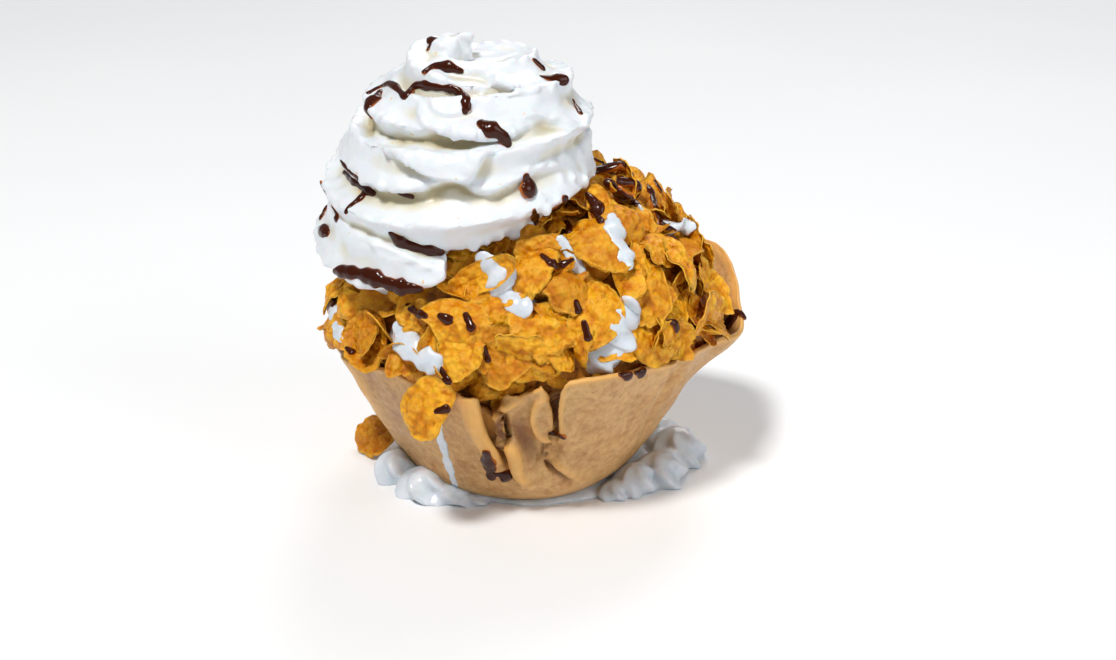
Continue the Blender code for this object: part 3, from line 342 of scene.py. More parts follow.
FLAKE_SAUCE = (
    (2.0, (0.8, 89.2), (1.4, 84.5)),
    (3.4, (20.3, 100.2), (25.1, 97.9), (29.0, 94.2), (33.9, 91.0)),
    (2.8, (37.6, 96.8), (39.0, 92.6), (40.4, 87.5), (42.7, 83.5), (46.0, 82.4)),
    (3.2, (17.1, 95.5), (21.0, 90.0), (22.4, 85.0)),
    (2.6, (11.4, 85.1), (12.1, 81.8)),
    (2.4, (3.3, 73.9), (5.9, 71.5), (8.5, 70.2), (13.1, 72.2)),
    (2.6, (14.4, 57.7), (15.1, 54.9)),
    (2.4, (17.1, 50.4), (18.4, 45.4)),
    (2.6, (-30.3, 52.8), (-27.4, 51.4)),
    (2.4, (-21.8, 53.2), (-20.2, 49.0)),
    (2.2, (-40.8, 56.7), (-38.5, 54.2), (-35.0, 52.8)),
    (2.6, (-30.5, 34.4), (-28.6, 30.1)),
    (2.8, (-32.2, 18.8), (-29.1, 19.6)),
    (1.8, (-15.7, 41.9), (-14.8, 37.6)),
    (2.4, (-65.3, 58.4), (-64.7, 56.3)),
    (2.4, (-61.4, 41.5), (-59.8, 40.1)),
    (2.2, (49.0, 91.5), (51.6, 88.8), (54.6, 85.1)),
    (1.8, (39.5, 98.8), (41.2, 95.8)),
)
SHELL_SAUCE = (
    (3.0, (69.8, 52.1), (67.7, 54.6), (64.6, 50.0), (60.4, 47.2), (56.8, 45.1)),
    (2.4, (62.7, 45.4), (58.8, 44.4), (54.3, 41.2)),
    (2.8, (22.4, 33.0), (23.4, 30.0)),
    (2.0, (29.2, 31.9), (31.8, 31.5)),
    (2.0, (34.2, 32.6), (36.2, 32.6)),
    (3.4, (-15.9, 3.6), (-14.9, -1.0), (-14.2, -5.6)),
    (2.6, (-14.2, -5.2), (-12.0, -4.2), (-9.6, -5.0)),
    (2.2, (5.8, 11.1), (7.8, 10.4), (9.9, 9.6)),
)
# Runs of melting ice cream over the flakes
ICE_CREAM_RUNS = (
    (7.5, (18.5, 33.7), (22.5, 37.3), (26.4, 42.6), (29.6, 49.7), (32.1, 57.7)),
    (5.0, (25.9, 86.5), (27.9, 79.7), (31.3, 71.5)),
    (3.2, (-66.0, 58.4), (-64.7, 49.7), (-63.6, 45.1)),
    (6.5, (-15.6, 71.5), (-11.4, 67.1), (-7.9, 61.2), (-4.0, 56.3)),
    (5.5, (-44.3, 48.6), (-41.2, 42.6), (-35.7, 37.3), (-30.8, 33.7)),
    (3.0, (9.5, 79.0), (12.5, 74.0), (16.5, 66.0)),
)
# Other sides: heading, mirror, shift across and up in millimetres, first strand and step
CREAM_SAUCE_SIDES = ((90, 1, 26.0, -2.0, 3, 2), (180, -1, 3.0, -4.0, 0, 2),
                     (-90, 1, 26.0, 1.0, 0, 3))
FLAKE_SAUCE_SIDES = ((90, 1, -22.0, -3.0, 1, 2), (180, -1, -6.0, 3.0, 0, 1),
                     (-90, 1, 12.0, -8.0, 0, 2))
SHELL_SAUCE_SIDES = ((180, -1, 4.0, -2.0, 2, 2), (90, 1, -30.0, 0.0, 2, 3))
RUN_SIDES = ((180, -1, -8.0, 2.0, 0, 1), (90, 1, -38.0, -4.0, 1, 3), (-90, 1, 30.0, 0.0, 3, 4))
SAUCE_SEED = 5200
SIDE_FACING = 0.80
LONGEST_JUMP = 0.010
STRAND_SPACING = 0.45
SWELLING_LENGTH = 0.011
DROP_LENGTH = 0.008
MELT_STREAK = (3.4, (-32.5, 17.4), (-31.4, 10.4), (-29.5, 1.8), (-26.7, -8.3), (-24.4, -12.5))

# Melted cream round the foot: a low ring as in the solids, with more and smaller lumps, given
# by azimuth, distance, radius and height
FOOT_LUMPS = (
    (-76, 0.0450, 0.0095, 0.0100), (-66, 0.0400, 0.0080, 0.0070), (-56, 0.0410, 0.0105, 0.0098),
    (-45, 0.0375, 0.0085, 0.0060), (-33, 0.0350, 0.0060, 0.0036), (46, 0.0365, 0.0060, 0.0050),
    (57, 0.0390, 0.0075, 0.0090), (71, 0.0435, 0.0100, 0.0098), (82, 0.0445, 0.0080, 0.0070),
    (93, 0.0485, 0.0105, 0.0105), (104, 0.0450, 0.0080, 0.0060), (114, 0.0470, 0.0085, 0.0080),
    (144, 0.0435, 0.0090, 0.0075), (155, 0.0420, 0.0070, 0.0050), (176, 0.0425, 0.0098, 0.0088),
    (-166, 0.0420, 0.0070, 0.0050), (-152, 0.0430, 0.0080, 0.0066), (-122, 0.0450, 0.0092, 0.0080),
    (-111, 0.0440, 0.0070, 0.0052), (-90, 0.0440, 0.0060, 0.0045),
)
FOAM_REACHES = (
    (-178, 0.0400), (-120, 0.0430), (-80, 0.0420), (-50, 0.0370), (-20, 0.0345), (15, 0.0335),
    (40, 0.0350), (60, 0.0400), (90, 0.0460), (115, 0.0440), (145, 0.0405),
)
FOAM_HEIGHT = 0.0024
FOAM_SECTION = ((-1.0, 0.0), (-0.8, 0.9), (0.0, 1.0), (0.75, 0.65), (0.95, 0.3), (1.0, 0.0))
FOOT_VOXEL = 0.0006
FOOT_WAVES = ((0.0006, 0.008, 61),)

# Camera, fitted to the photograph, for a picture of 1116 by 660, and what the lamps aim at
CAMERA_PITCH = math.radians(90 - 20.6)
CAMERA_LENS = 55.84
LIGHT_TARGET = Vector((0.0, 0.0, 0.07))


# Noise and curves
def noise_places(points, size, seed):
    shift = Vector((1.31 * seed, 2.17 * seed, 0.73 * seed))
    return [Vector(p) / size + shift for p in points]


def noise_field(points, size, seed):
    """Smooth noise from about -1 to 1, with bumps this many metres apart."""
    return np.array([noise.noise(p) for p in noise_places(points, size, seed)])


def relief(points, layers):
    """Layers of smooth noise added up, each with its height, size and seed."""
    return sum(height * noise_field(points, size, seed) for height, size, seed in layers)


def blister_field(points, size, seed):
    """Rounded bumps packed side by side: 1 on top of each, falling to 0 between them."""
    near = np.array([noise.voronoi(p)[0][0] for p in noise_places(points, size, seed)])
    return np.maximum(1 - (near / 0.75) ** 2, 0.0)


def smooth_step(value):
    value = np.clip(value, 0.0, 1.0)
    return value * value * (3 - 2 * value)


def along(stations, place):
    return np.interp(place, [s[0] for s in stations], [s[1] for s in stations])


def between_four(a, b, c, d, share):
    """The place at this share of the way from b to c, on a smooth curve through all four."""
    return b + 0.5 * share * (c - a + share * (2 * a - 5 * b + 4 * c - d
                                               + share * (3 * (b - c) + d - a)))


def round_the_bowl(stations, azimuth):
    """A value at each azimuth in degrees, eased between the stations and closed on itself."""
    places = np.array([s[0] for s in stations] + [stations[0][0] + 360.0])
    values = np.array([s[1] for s in stations])
    wrapped = (np.asarray(azimuth, float) - places[0]) % 360.0 + places[0]
    index = np.clip(np.searchsorted(places, wrapped, side="right") - 1, 0, len(places) - 2)
    share = (wrapped - places[index]) / (places[index + 1] - places[index])
    return between_four(*(values[(index + step) % len(values)] for step in (-1, 0, 1, 2)), share)


def through(places, spacing):
    """Points on a smooth curve through the places, about this far apart."""
    places = np.array(places, float)
    ends = np.concatenate([[2 * places[0] - places[1]], places, [2 * places[-1] - places[-2]]])
    found = []
    for four in zip(ends, ends[1:], ends[2:], ends[3:]):
        steps = max(int(np.linalg.norm(four[2] - four[1]) / spacing), 2)
        found += [between_four(*four, t) for t in np.linspace(0, 1, steps, endpoint=False)]
    return np.array([*found, places[-1]])


def unit(rows):
    """The vectors in the rows, each made one long."""
    return rows / np.maximum(np.linalg.norm(rows, axis=-1, keepdims=True), 1e-12)


def degrees_apart(azimuth, other):
    return (azimuth - other + 180.0) % 360.0 - 180.0


def azimuth_of(points):
    return np.degrees(np.arctan2(points[..., 0], -points[..., 1]))


# Meshes
def new_object(name, data):
    made = bpy.data.objects.new(name, data)
    bpy.context.scene.collection.objects.link(made)
    return made


def mesh_piece(name, points, faces, surface):
    mesh = bpy.data.meshes.new(name)
    mesh.from_pydata([tuple(p) for p in points], [], faces)
    mesh.shade_smooth()
    mesh.materials.append(surface)
    return new_object(name, mesh)


def ring_faces(rows, columns, first=0):
    """Quads between rings of points, each ring closed on itself."""
    return [
        (first + r * columns + c, first + r * columns + (c + 1) % columns,
         first + (r + 1) * columns + (c + 1) % columns, first + (r + 1) * columns + c)
        for r in range(rows - 1) for c in range(columns)
    ]


def capped_rings(rings):
    """Points and faces of rings joined into one closed skin, with a point at each end."""
    rows, columns = len(rings), len(rings[0])
    points = np.concatenate([*rings, [rings[0].mean(axis=0)], [rings[-1].mean(axis=0)]])
    faces = ring_faces(rows, columns)
    last = (rows - 1) * columns
    for c in range(columns):
        after = (c + 1) % columns
        faces.append((len(points) - 2, after, c))
        faces.append((last + c, last + after, len(points) - 1))
    return points, faces


def apply_modifiers(piece):
    bpy.context.view_layer.update()
    graph = bpy.context.evaluated_depsgraph_get()
    mesh = bpy.data.meshes.new_from_object(piece.evaluated_get(graph))
    piece.modifiers.clear()
    piece.data = mesh


def outwards(piece):
    edit = bmesh.new()
    edit.from_mesh(piece.data)
    bmesh.ops.recalc_face_normals(edit, faces=edit.faces)
    edit.to_mesh(piece.data)
    edit.free()


def voxel_skin(piece, size, smoothing):
    outwards(piece)
    skin = piece.modifiers.new("skin", "REMESH")
    skin.mode = "VOXEL"
    skin.voxel_size = size
    skin.use_smooth_shade = True
    relax = piece.modifiers.new("relax", "SMOOTH")
    relax.iterations = smoothing
    relax.factor = 0.5
    apply_modifiers(piece)


def joined(skins):
    """Points and faces of several skins as one."""
    points, faces, start = [], [], 0
    for skin, sides in skins:
        points.append(skin)
        faces += [tuple(v + start for v in f) for f in sides]
        start += len(skin)
    return np.concatenate(points), faces


def tree_of(*pieces):
    """One search tree over several meshes."""
    skins = [(places_of(p), [tuple(f.vertices) for f in p.data.polygons]) for p in pieces]
    points, faces = joined(skins)
    return BVHTree.FromPolygons(points.tolist(), faces)


def numbers_of(data, key):
    numbers = np.empty(len(data) * 3, np.float32)
    data.foreach_get(key, numbers)
    return numbers.reshape(-1, 3).astype(float)


def places_of(piece):
    return numbers_of(piece.data.vertices, "co")


def normals_of(piece):
    return numbers_of(piece.data.vertex_normals, "vector")


def move_points(piece, points):
    piece.data.vertices.foreach_set("co", points.astype(np.float32).ravel())
    piece.data.update()


def paint(piece, name, values):
    """Keeps one number for each point of the mesh, for the material to read."""
    attribute = piece.data.attributes.new(name, "FLOAT", "POINT")
    attribute.data.foreach_set("value", np.asarray(values, np.float32))


def hollowness(piece, rounds):
    """How far each point lies in a valley, from its neighbours, smoothed over the mesh."""
    points = places_of(piece)
    normals = normals_of(piece)
    edges = np.empty(len(piece.data.edges) * 2, np.int32)
    piece.data.edges.foreach_get("vertices", edges)
    a, b = edges.reshape(-1, 2).T
    degree = np.bincount(a, minlength=len(points)) + np.bincount(b, minlength=len(points))
    degree = np.maximum(degree, 1)

    def spread(values):
        total = np.bincount(a, values[b], len(values)) + np.bincount(b, values[a], len(values))
        return 0.5 * values + 0.5 * total / degree

    soft = [points[:, axis] for axis in range(3)]
    for _ in range(rounds):
        soft = [spread(values) for values in soft]
    depth = np.sum((np.stack(soft, axis=1) - points) * normals, axis=1)
    for _ in range(4):
        depth = spread(depth)
    return depth


# Materials
def srgb(red, green, blue):
    """A colour as read off a screen, 0 to 255, as the linear numbers that a shader takes."""
    share = np.array([red, green, blue]) / 255
    linear = np.where(share <= 0.04045, share / 12.92, ((share + 0.055) / 1.055) ** 2.4)
    return (*(float(v) for v in linear), 1.0)


class Look:
    """A Principled material, with short calls for the nodes that vary it."""

    def __init__(self, name, **sockets):
        self.material = bpy.data.materials.new(name)
        self.material.use_nodes = True
        self.tree = self.material.node_tree
        self.shader = self.tree.nodes["Principled BSDF"]
        for socket, value in sockets.items():
            self.shader.inputs[socket.replace("_", " ")].default_value = value
        self.place = self.tree.nodes.new("ShaderNodeTexCoord").outputs["Object"]

    def fill(self, node, values):
        """Links a node's inputs to other nodes, or sets them where they are numbers."""
        enabled = {s.name: s for s in reversed(node.inputs) if s.enabled}
        for key, value in values.items():
            socket = enabled[key] if isinstance(key, str) else node.inputs[key]
            if isinstance(value, bpy.types.NodeSocket):
                self.tree.links.new(value, socket)
            else:
                socket.default_value = value

    def node(self, kind, inputs=(), **settings):
        made = self.tree.nodes.new(kind)
        for key, value in settings.items():
            setattr(made, key, value)
        self.fill(made, dict(inputs))
        return made

    def noise(self, size, detail=3.0, roughness=0.55, distortion=0.0):
        """Cloudy noise from 0 to 1 with spots this many metres wide."""
        inputs = {"Vector": self.place, "Scale": 1 / size, "Detail": detail,
                  "Roughness": roughness, "Distortion": distortion}
        return self.node("ShaderNodeTexNoise", inputs).outputs["Fac"]

    def cells(self, size):
        """Distance from the middle of soft cells this many metres wide."""
        made = self.node("ShaderNodeTexVoronoi", feature="SMOOTH_F1")
        self.fill(made, {"Vector": self.place, "Scale": 1 / size, "Smoothness": 0.4})
        return made.outputs["Distance"]

    def painted(self, name):
        return self.node("ShaderNodeAttribute", attribute_name=name).outputs["Fac"]

    def between(self, value, low, high, to_low=0.0, to_high=1.0):
        inputs = {"Value": value, "From Min": low, "From Max": high, "To Min": to_low,
                  "To Max": to_high}
        return self.node("ShaderNodeMapRange", inputs).outputs["Result"]

    def added(self, first, second):
        return self.node("ShaderNodeMath", {0: first, 1: second}, operation="ADD").outputs["Value"]

    def ramp(self, value, *stops):
        made = self.node("ShaderNodeValToRGB", {"Fac": value})
        while len(made.color_ramp.elements) < len(stops):
            made.color_ramp.elements.new(0.5)
        for element, (place, colour) in zip(made.color_ramp.elements, stops):
            element.position = place
            element.color = colour
        return made.outputs["Color"]

    def mix(self, share, first, second):
        made = self.node("ShaderNodeMix", data_type="RGBA")
        self.fill(made, {"Factor": share, "A": first, "B": second})
        return next(s for s in made.outputs if s.enabled)

    def tinted(self, colour, value, low, high, share, tint):
        """The colour, mixed up to this share with a tint as the value goes from low to high."""
        return self.mix(self.between(value, low, high, 0.0, share), colour, srgb(*tint))

    def bump(self, height, distance, strength=1.0, under=None):
        inputs = {"Height": height, "Distance": distance, "Strength": strength}
        if under is not None:
            inputs["Normal"] = under
        return self.node("ShaderNodeBump", inputs).outputs["Normal"]

    def feed(self, **sockets):
        for socket, value in sockets.items():
            self.tree.links.new(value, self.shader.inputs[socket.replace("_", " ")])
        return self.material


def tortilla_look():
    look = Look("fried_tortilla", Roughness=0.5, Specular_IOR_Level=0.4, Subsurface_Weight=0.12,
                Subsurface_Scale=0.002)
    colour = look.ramp(look.noise(0.016, 4.0, 0.6, 0.4), (0.25, srgb(164, 112, 54)),
                       (0.50, srgb(200, 149, 86)), (0.75, srgb(222, 177, 112)))
    grain = look.ramp(look.noise(0.0022, 5.0, 0.65), (0.3, srgb(152, 98, 48)),
                      (0.7, srgb(238, 203, 148)))
    colour = look.mix(0.40, colour, grain)
    # Lighter golden on the rolls, the raised ridges and along the rim: painted highlight
    ridge_highlight = look.painted("ridge_highlight")
    for value, low, high, share, tint in (
            (look.noise(0.0068, 3.0, 0.5), 0.58, 0.72, 0.60, (160, 98, 46)),
            (look.noise(0.0030, 2.0, 0.5), 0.70, 0.78, 0.55, (122, 66, 26)),
            (ridge_highlight, 0.1, 0.9, 0.75, (236, 180, 96)),
            # Dark brown in the creases and the deep pleats: painted shade
            (look.painted("fold"), 0.1, 0.9, 0.90, (112, 60, 22))):
        colour = look.tinted(colour, value, low, high, share, tint)
    normal = look.bump(look.noise(0.0011, 4.0, 0.7), 0.0004, 0.7)
    normal = look.bump(look.noise(0.0045, 3.0, 0.55), 0.0012, 0.6, normal)
    rough = look.between(look.noise(0.009, 2.0), 0.35, 0.7, 0.34, 0.60)
    rough = look.mix(look.between(ridge_highlight, 0.2, 1.0, 0.0, 0.7), rough, (0.28, 0.28, 0.28, 1.0))
    return look.feed(Base_Color=colour, Roughness=rough, Normal=normal)


def flake_look(name):
    look = Look(name, Roughness=0.45, Specular_IOR_Level=0.28, Subsurface_Weight=0.08,
                Subsurface_Scale=0.0012)
    colour = look.ramp(look.noise(0.0042, 4.0, 0.6), (0.28, srgb(208, 118, 0)),
                       (0.52, srgb(238, 160, 6)), (0.74, srgb(255, 200, 40)))
    blister = look.painted("blister")
    # The hollows between the bumps are darker as painted shade, and their tops lighter as a
    # painted highlight
    colour = look.mix(look.between(blister, 0.0, 0.4, 0.50, 0.0), colour, srgb(176, 92, 0))
    for value, low, high, share, tint in (
            (blister, 0.4, 0.9, 0.38, (255, 206, 72)),
            # Each flake's own random tone, darker still on the flakes that lie deep: painted shade
            (look.painted("tone_and_shade"), 0.0, 1.0, 0.58, (176, 96, 0)),
            # Lighter golden towards the rim: painted highlight
            (look.painted("edge"), 0.88, 1.0, 0.5, (254, 196, 66)),
            (look.noise(0.0016, 2.0), 0.70, 0.78, 0.5, (150, 88, 24))):
        colour = look.tinted(colour, value, low, high, share, tint)
    normal = look.bump(look.noise(0.0007, 3.0, 0.75), 0.00036, 0.9)
    normal = look.bump(look.cells(0.0019), 0.00090, 1.0, normal)
    rough = look.between(look.noise(0.006, 2.0), 0.35, 0.65, 0.24, 0.55)
    return look.feed(Base_Color=colour, Roughness=rough, Normal=normal)


def ice_cream_look():
    look = Look("ice_cream", Specular_IOR_Level=0.5, Subsurface_Weight=0.15,
                Subsurface_Scale=0.002)
    colour = look.ramp(look.noise(0.006, 3.0), (0.3, srgb(234, 234, 238)),
                       (0.7, srgb(250, 250, 252)))
    colour = look.tinted(colour, look.noise(0.0011, 1.0), 0.76, 0.80, 0.7, (96, 74, 58))
    # Golden-brown crumb coat where the ice cream does not show, dark enough to stand for the shade
    # in the gaps between the flakes: partly the coat's own colour, partly painted shade
    crumb = look.ramp(look.noise(0.0016, 4.0, 0.7), (0.32, srgb(112, 58, 10)),
                      (0.62, srgb(206, 134, 34)))
    ragged = look.between(look.noise(0.002, 3.0), 0, 1, -0.4, 0.4)
    crumb_and_shade = look.between(look.added(look.painted("crumb"), ragged), 0.42, 0.58)
    colour = look.mix(crumb_and_shade, colour, crumb)
    normal = look.bump(look.noise(0.0030, 4.0, 0.6), 0.0008, 0.5)
    return look.feed(Base_Color=colour, Roughness=look.between(crumb_and_shade, 0, 1, 0.20, 0.6),
                     Normal=normal)


def cream_look():
    look = Look("whipped_cream", Roughness=0.34, Specular_IOR_Level=0.45, Subsurface_Weight=0.20,
                Subsurface_Scale=0.002, Coat_Weight=0.10, Coat_Roughness=0.25)
    # Beige and darker in the valleys between the folds: painted shade
    colour = look.ramp(look.painted("valley_shade"), (0.0, srgb(230, 235, 240)),
                       (0.35, srgb(224, 222, 211)), (1.0, srgb(192, 180, 146)))
    colour = look.tinted(colour, look.noise(0.0030, 1.0), 0.745, 0.79, 0.75, (238, 186, 100))
    normal = look.bump(look.noise(0.0022, 3.0, 0.6), 0.0005, 0.35)
    return look.feed(Base_Color=colour, Normal=normal)


def melt_look():
    look = Look("melted_cream", Roughness=0.30, Specular_IOR_Level=0.45, Subsurface_Weight=0.25,
                Subsurface_Scale=0.002, Coat_Weight=0.15, Coat_Roughness=0.12)
    # Bluish grey-white, darker than the whipped cream: partly the melt's own translucent look,
    # partly painted shade
    colour = look.ramp(look.noise(0.005, 3.0), (0.3, srgb(202, 211, 220)),
                       (0.7, srgb(224, 230, 237)))
    normal = look.bump(look.noise(0.0024, 3.0), 0.0005, 0.4)
    return look.feed(Base_Color=colour, Normal=normal)


def sauce_look():
    look = Look("chocolate_sauce", Roughness=0.20, Specular_IOR_Level=0.12, Coat_Weight=0.35,
                Coat_Roughness=0.03)
    colour = look.ramp(look.painted("thin"), (0.0, srgb(58, 18, 2)), (0.50, srgb(84, 32, 5)),
                       (1.0, srgb(182, 98, 22)))
    normal = look.bump(look.noise(0.0022, 2.0), 0.0006, 0.5)
    return look.feed(Base_Color=colour, Normal=normal)


# Tortilla bowl
def pleat_weight(azimuth, centre, width):
    return np.exp(-((degrees_apart(np.asarray(azimuth, float), centre) / width) ** 2))


def pleat_centre(centre, drift, height):
    """Where a pleat lies at this height: it runs aslant from the rim to the foot."""
    height = np.asarray(height, float)
    sway = PLEAT_SWAY * np.sin(height / 0.0052 + centre)
    return centre + sway + drift * np.clip(1 - height / REACH_HEIGHT, 0.0, 1.0)


def rim_height(azimuth):
    height = round_the_bowl(RIM_HEIGHTS, azimuth)
    for centre, _, width, _, dip, _ in PLEATS:
        height = height - RIM_DIP * dip * pleat_weight(azimuth, centre, 0.8 * width)
    return height


def wall_radius(azimuth, height, inset=0.0):
    """Distance of the bowl's outer wall from the axis, or of a wall that lies inset inside it."""
    height = np.asarray(height, float)
    corner = CORNER_RADIUS - inset
    turn_height = CORNER_RADIUS - corner * math.cos(WALL_ANGLE)
    fall = np.clip(CORNER_RADIUS - height, 0.0, corner)
    low = np.sqrt(np.maximum(corner ** 2 - fall ** 2, 0.0))
    high = corner * math.sin(WALL_ANGLE) + (height - turn_height) / math.tan(WALL_ANGLE)
    foot = round_the_bowl(FOOT_RADII, azimuth)
    spread = (round_the_bowl(WALL_REACHES, azimuth) - foot) / FULL_RUN
    steepness = 1.1 * inset * (1 - np.minimum(spread, 1.0))
    centre, width, reach, start, rise = PINCHED_TIP
    tip = reach * pleat_weight(azimuth, centre, width) * smooth_step((height - start) / rise)
    return foot + np.where(height < turn_height, low, high) * spread - steepness + tip


def direction(azimuth):
    angle = np.radians(azimuth)
    return np.stack([np.sin(angle), -np.cos(angle), np.zeros_like(angle)], axis=-1)


def wall_point(azimuth, height, inset=0.0):
    """A point on the wall with its pleats: each pleat moves it inwards and to one side."""
    azimuth, height = np.broadcast_arrays(np.asarray(azimuth, float), np.asarray(height, float))
    outward = direction(azimuth)
    sideways = np.stack([-outward[..., 1], outward[..., 0], np.zeros_like(azimuth)], axis=-1)
    point = wall_radius(azimuth, height, inset)[..., None] * outward
    rise = smooth_step((height - PLEAT_START) / PLEAT_RUN)
    for centre, drift, width, depth, _, slant in PLEATS:
        push = depth * rise * pleat_weight(azimuth, pleat_centre(centre, drift, height), width)
        lean = math.radians(slant)
        point = point - (push * math.cos(lean))[..., None] * outward
        point = point + (push * math.sin(lean))[..., None] * sideways
    point[..., 2] = height
    return point


def bowl_columns(step):
    """Azimuths round the bowl, closer together at each pleat."""
    start, end, fine = FRONT_FOLDS
    marks = list(np.arange(-180.0, 180.0, step)) + list(np.arange(start, end, fine))
    for centre, _, width, *_ in PLEATS:
        marks += [centre + width * share for share in np.linspace(-1.6, 1.6, 11)]
    marks = sorted(degrees_apart(m, 0.0) for m in marks)
    kept = [marks[0]]
    for mark in marks[1:]:
        if mark - kept[-1] > 0.22 * step:
            kept.append(mark)
    return np.array(kept)


def grid_normals(grid):
    """Unit normals of a grid of points whose rows run up and whose columns run round."""
    up = np.gradient(grid, axis=0)
    wrapped = np.concatenate([grid[:, -1:], grid, grid[:, :1]], axis=1)
    across = (wrapped[:, 2:] - wrapped[:, :-2]) * 0.5
    return unit(np.cross(across, up))


def seen_places(points, normals, eye, shift=(0.0, 0.0)):
    """Where the points lie in the plane through the axis, seen from the eye, and how they face."""
    rays = points - np.array(eye)
    distance = np.linalg.norm(rays, axis=1)
    facing = smooth_step(-2.2 * np.sum(rays * normals, axis=1) / distance)
    share = -eye[1] / rays[:, 1]
    across = (eye[0] + rays[:, 0] * share) / MM - shift[0]
    up = (eye[2] + rays[:, 2] * share) / MM - shift[1]
    return across, up, facing


def off_the_line(across, up, line):
    """The line's step nearest to each place, the way from there to it, and its share along."""
    dx = across[:, None] - line[None, :, 0]
    dz = up[:, None] - line[None, :, 1]
    best = np.argmin(dx * dx + dz * dz, axis=1)
    rows = np.arange(len(across))
    return best, dx[rows, best], dz[rows, best], np.clip(best / (len(line) - 1), 0.02, 0.98)


def ridge_moves(points, normals, ridges):
    """How far each point moves out to form the ridges and creases that the front shows."""
    across, up, facing = seen_places(points, normals, VIEW_POINT)
    moves = np.zeros(len(points))
    index = np.flatnonzero((facing > 0) & (points[:, 1] < 0) & (np.abs(across) < 40))
    for height, half, *places in ridges:
        _, dx, dz, share = off_the_line(across[index], up[index], through(places, 0.5))
        fade = np.sin(np.pi * share) ** 0.45
        moves[index] += height * MM * np.exp(-(np.hypot(dx, dz) / half) ** 2.6) * fade
    return moves * facing


def build_shell(surface):
    """The bowl: uneven and blistered outside, thin at its rim, one closed skin."""
    azimuth = bowl_columns(SHELL_COLUMN_STEP)
    rows = [share * round_the_bowl(FOOT_RADII, azimuth)[:, None] * direction(azimuth)
            for share in (0.25, 0.5, 0.75)]
    for turn in np.linspace(0.0, WALL_ANGLE, SHELL_CORNER_ROWS + 1):
        height = CORNER_RADIUS * (1 - math.cos(turn))
        rows.append(wall_point(azimuth, np.full_like(azimuth, height)))
    top = rim_height(azimuth) - 0.0006
    for row in range(1, SHELL_WALL_ROWS + 1):
        share = row / SHELL_WALL_ROWS
        rows.append(wall_point(azimuth, CORNER_TOP + (top - CORNER_TOP) * share))
    grid = np.array(rows)
    normals = grid_normals(grid)
    flat = grid.reshape(-1, 3)
    high = smooth_step((flat[:, 2] - 0.002) / 0.010)
    where = smooth_step(2 * noise_field(flat, 0.024, 9))
    bubbles = BUBBLE_HEIGHT * blister_field(flat, BUBBLE_SIZE, 7) * where
    swell = (relief(flat, SHELL_SWELLS) + bubbles - 0.0004) * high
    grid = grid + swell.reshape(grid.shape[:2])[..., None] * normals
    moves = ridge_moves(grid.reshape(-1, 3), normals.reshape(-1, 3), SHELL_RIDGES)
    grid = grid + moves.reshape(grid.shape[:2])[..., None] * normals
    ripple = relief(grid[-1], RIM_RIPPLES)
    normals = grid_normals(grid)
    thickness = SHELL_THICKNESS * (1 - 0.35 * smooth_step((grid[..., 2] - 0.030) / 0.02))
    inner = grid - thickness[..., None] * normals
    middle = 0.5 * (grid[-1] + inner[-1])
    rim = []
    for turn in np.radians((35, 90, 145)):
        across = 0.5 * (grid[-1] - inner[-1]) * math.cos(turn)
        lift = np.zeros_like(middle)
        lift[:, 2] = RIM_ROUNDING * math.sin(turn) + ripple * math.sin(turn)
        rim.append(middle + across + lift)
    shell = mesh_piece("tortilla_bowl", *capped_rings([*grid, *rim, *inner[::-1]]), surface)
    outwards(shell)
    flat = places_of(shell)
    # Masks for the colour: painted highlight on the rolls, the raised ridges and along the rim,
    # and painted shade in the deep pleats and the creases
    ridge_highlight, fold = np.zeros((2, len(flat)))
    around = azimuth_of(flat)
    rise = smooth_step((flat[:, 2] - 0.010) / 0.02)
    for centre, drift, width, depth, _, _ in PLEATS:
        weight = rise * pleat_weight(around, pleat_centre(centre, drift, flat[:, 2]), width)
        if depth < 0:
            ridge_highlight = np.maximum(ridge_highlight, weight)
        elif depth > 0.004:
            fold = np.maximum(fold, weight)
    outer = slice(len(moves))
    ridge_highlight[outer] = np.maximum(ridge_highlight[outer], np.clip(moves / 0.0022, 0, 1))
    fold[outer] = np.maximum(fold[outer], np.clip(-moves / 0.0018, 0, 1))
    near_rim = 1 - (rim_height(around) - flat[:, 2]) / 0.0022
    ridge_highlight = np.maximum(ridge_highlight, np.clip(near_rim, 0, 1))
    paint(shell, "ridge_highlight", ridge_highlight)
    # Painted shade in the creases and the deep pleats, where no highlight is painted
    paint(shell, "fold", np.clip(fold - ridge_highlight, 0, 1))
    return shell


# Ice cream ball
def core_radius_limit(azimuth, height):
    """How far out the core may reach inside the bowl, clear of its wall and pleats."""
    limit = wall_radius(azimuth, height, SHELL_THICKNESS) - GAP - CORE_CLEARANCE
    deepest = np.zeros_like(limit)
    for centre, drift, width, depth, _, slant in PLEATS:
        fold = pleat_centre(centre, drift, height)
        fold = fold + 0.5 * math.degrees(depth * math.sin(math.radians(slant)) / REACH_HEIGHT)
        reach = (depth + CORE_CLEARANCE) * pleat_weight(azimuth, fold, max(2.4 * width, 10.0))
        deepest = np.maximum(deepest, reach)
    return limit - deepest


def core_point(azimuth, elevation, grow=0.0):
    azimuth, elevation = np.broadcast_arrays(np.asarray(azimuth, float),
                                             np.asarray(elevation, float))
    around = direction(azimuth) * np.cos(np.radians(elevation))[..., None]
    around[..., 2] = np.sin(np.radians(elevation))
    point = np.array(CORE_CENTRE) + around * (np.array(CORE_AXES) + np.asarray(grow)[..., None])
    point[..., 2] = np.maximum(point[..., 2], SHELL_THICKNESS + GAP)
    out = np.hypot(point[..., 0], point[..., 1])
    real_azimuth = azimuth_of(point)
    inside = point[..., 2] < round_the_bowl(RIM_HEIGHTS, real_azimuth) + CORE_TRIM_ABOVE_RIM
    limit = core_radius_limit(real_azimuth, point[..., 2])
    scale = np.where(inside, np.minimum(1.0, limit / np.maximum(out, 1e-6)), 1.0)
    point[..., :2] *= scale[..., None]
    return point


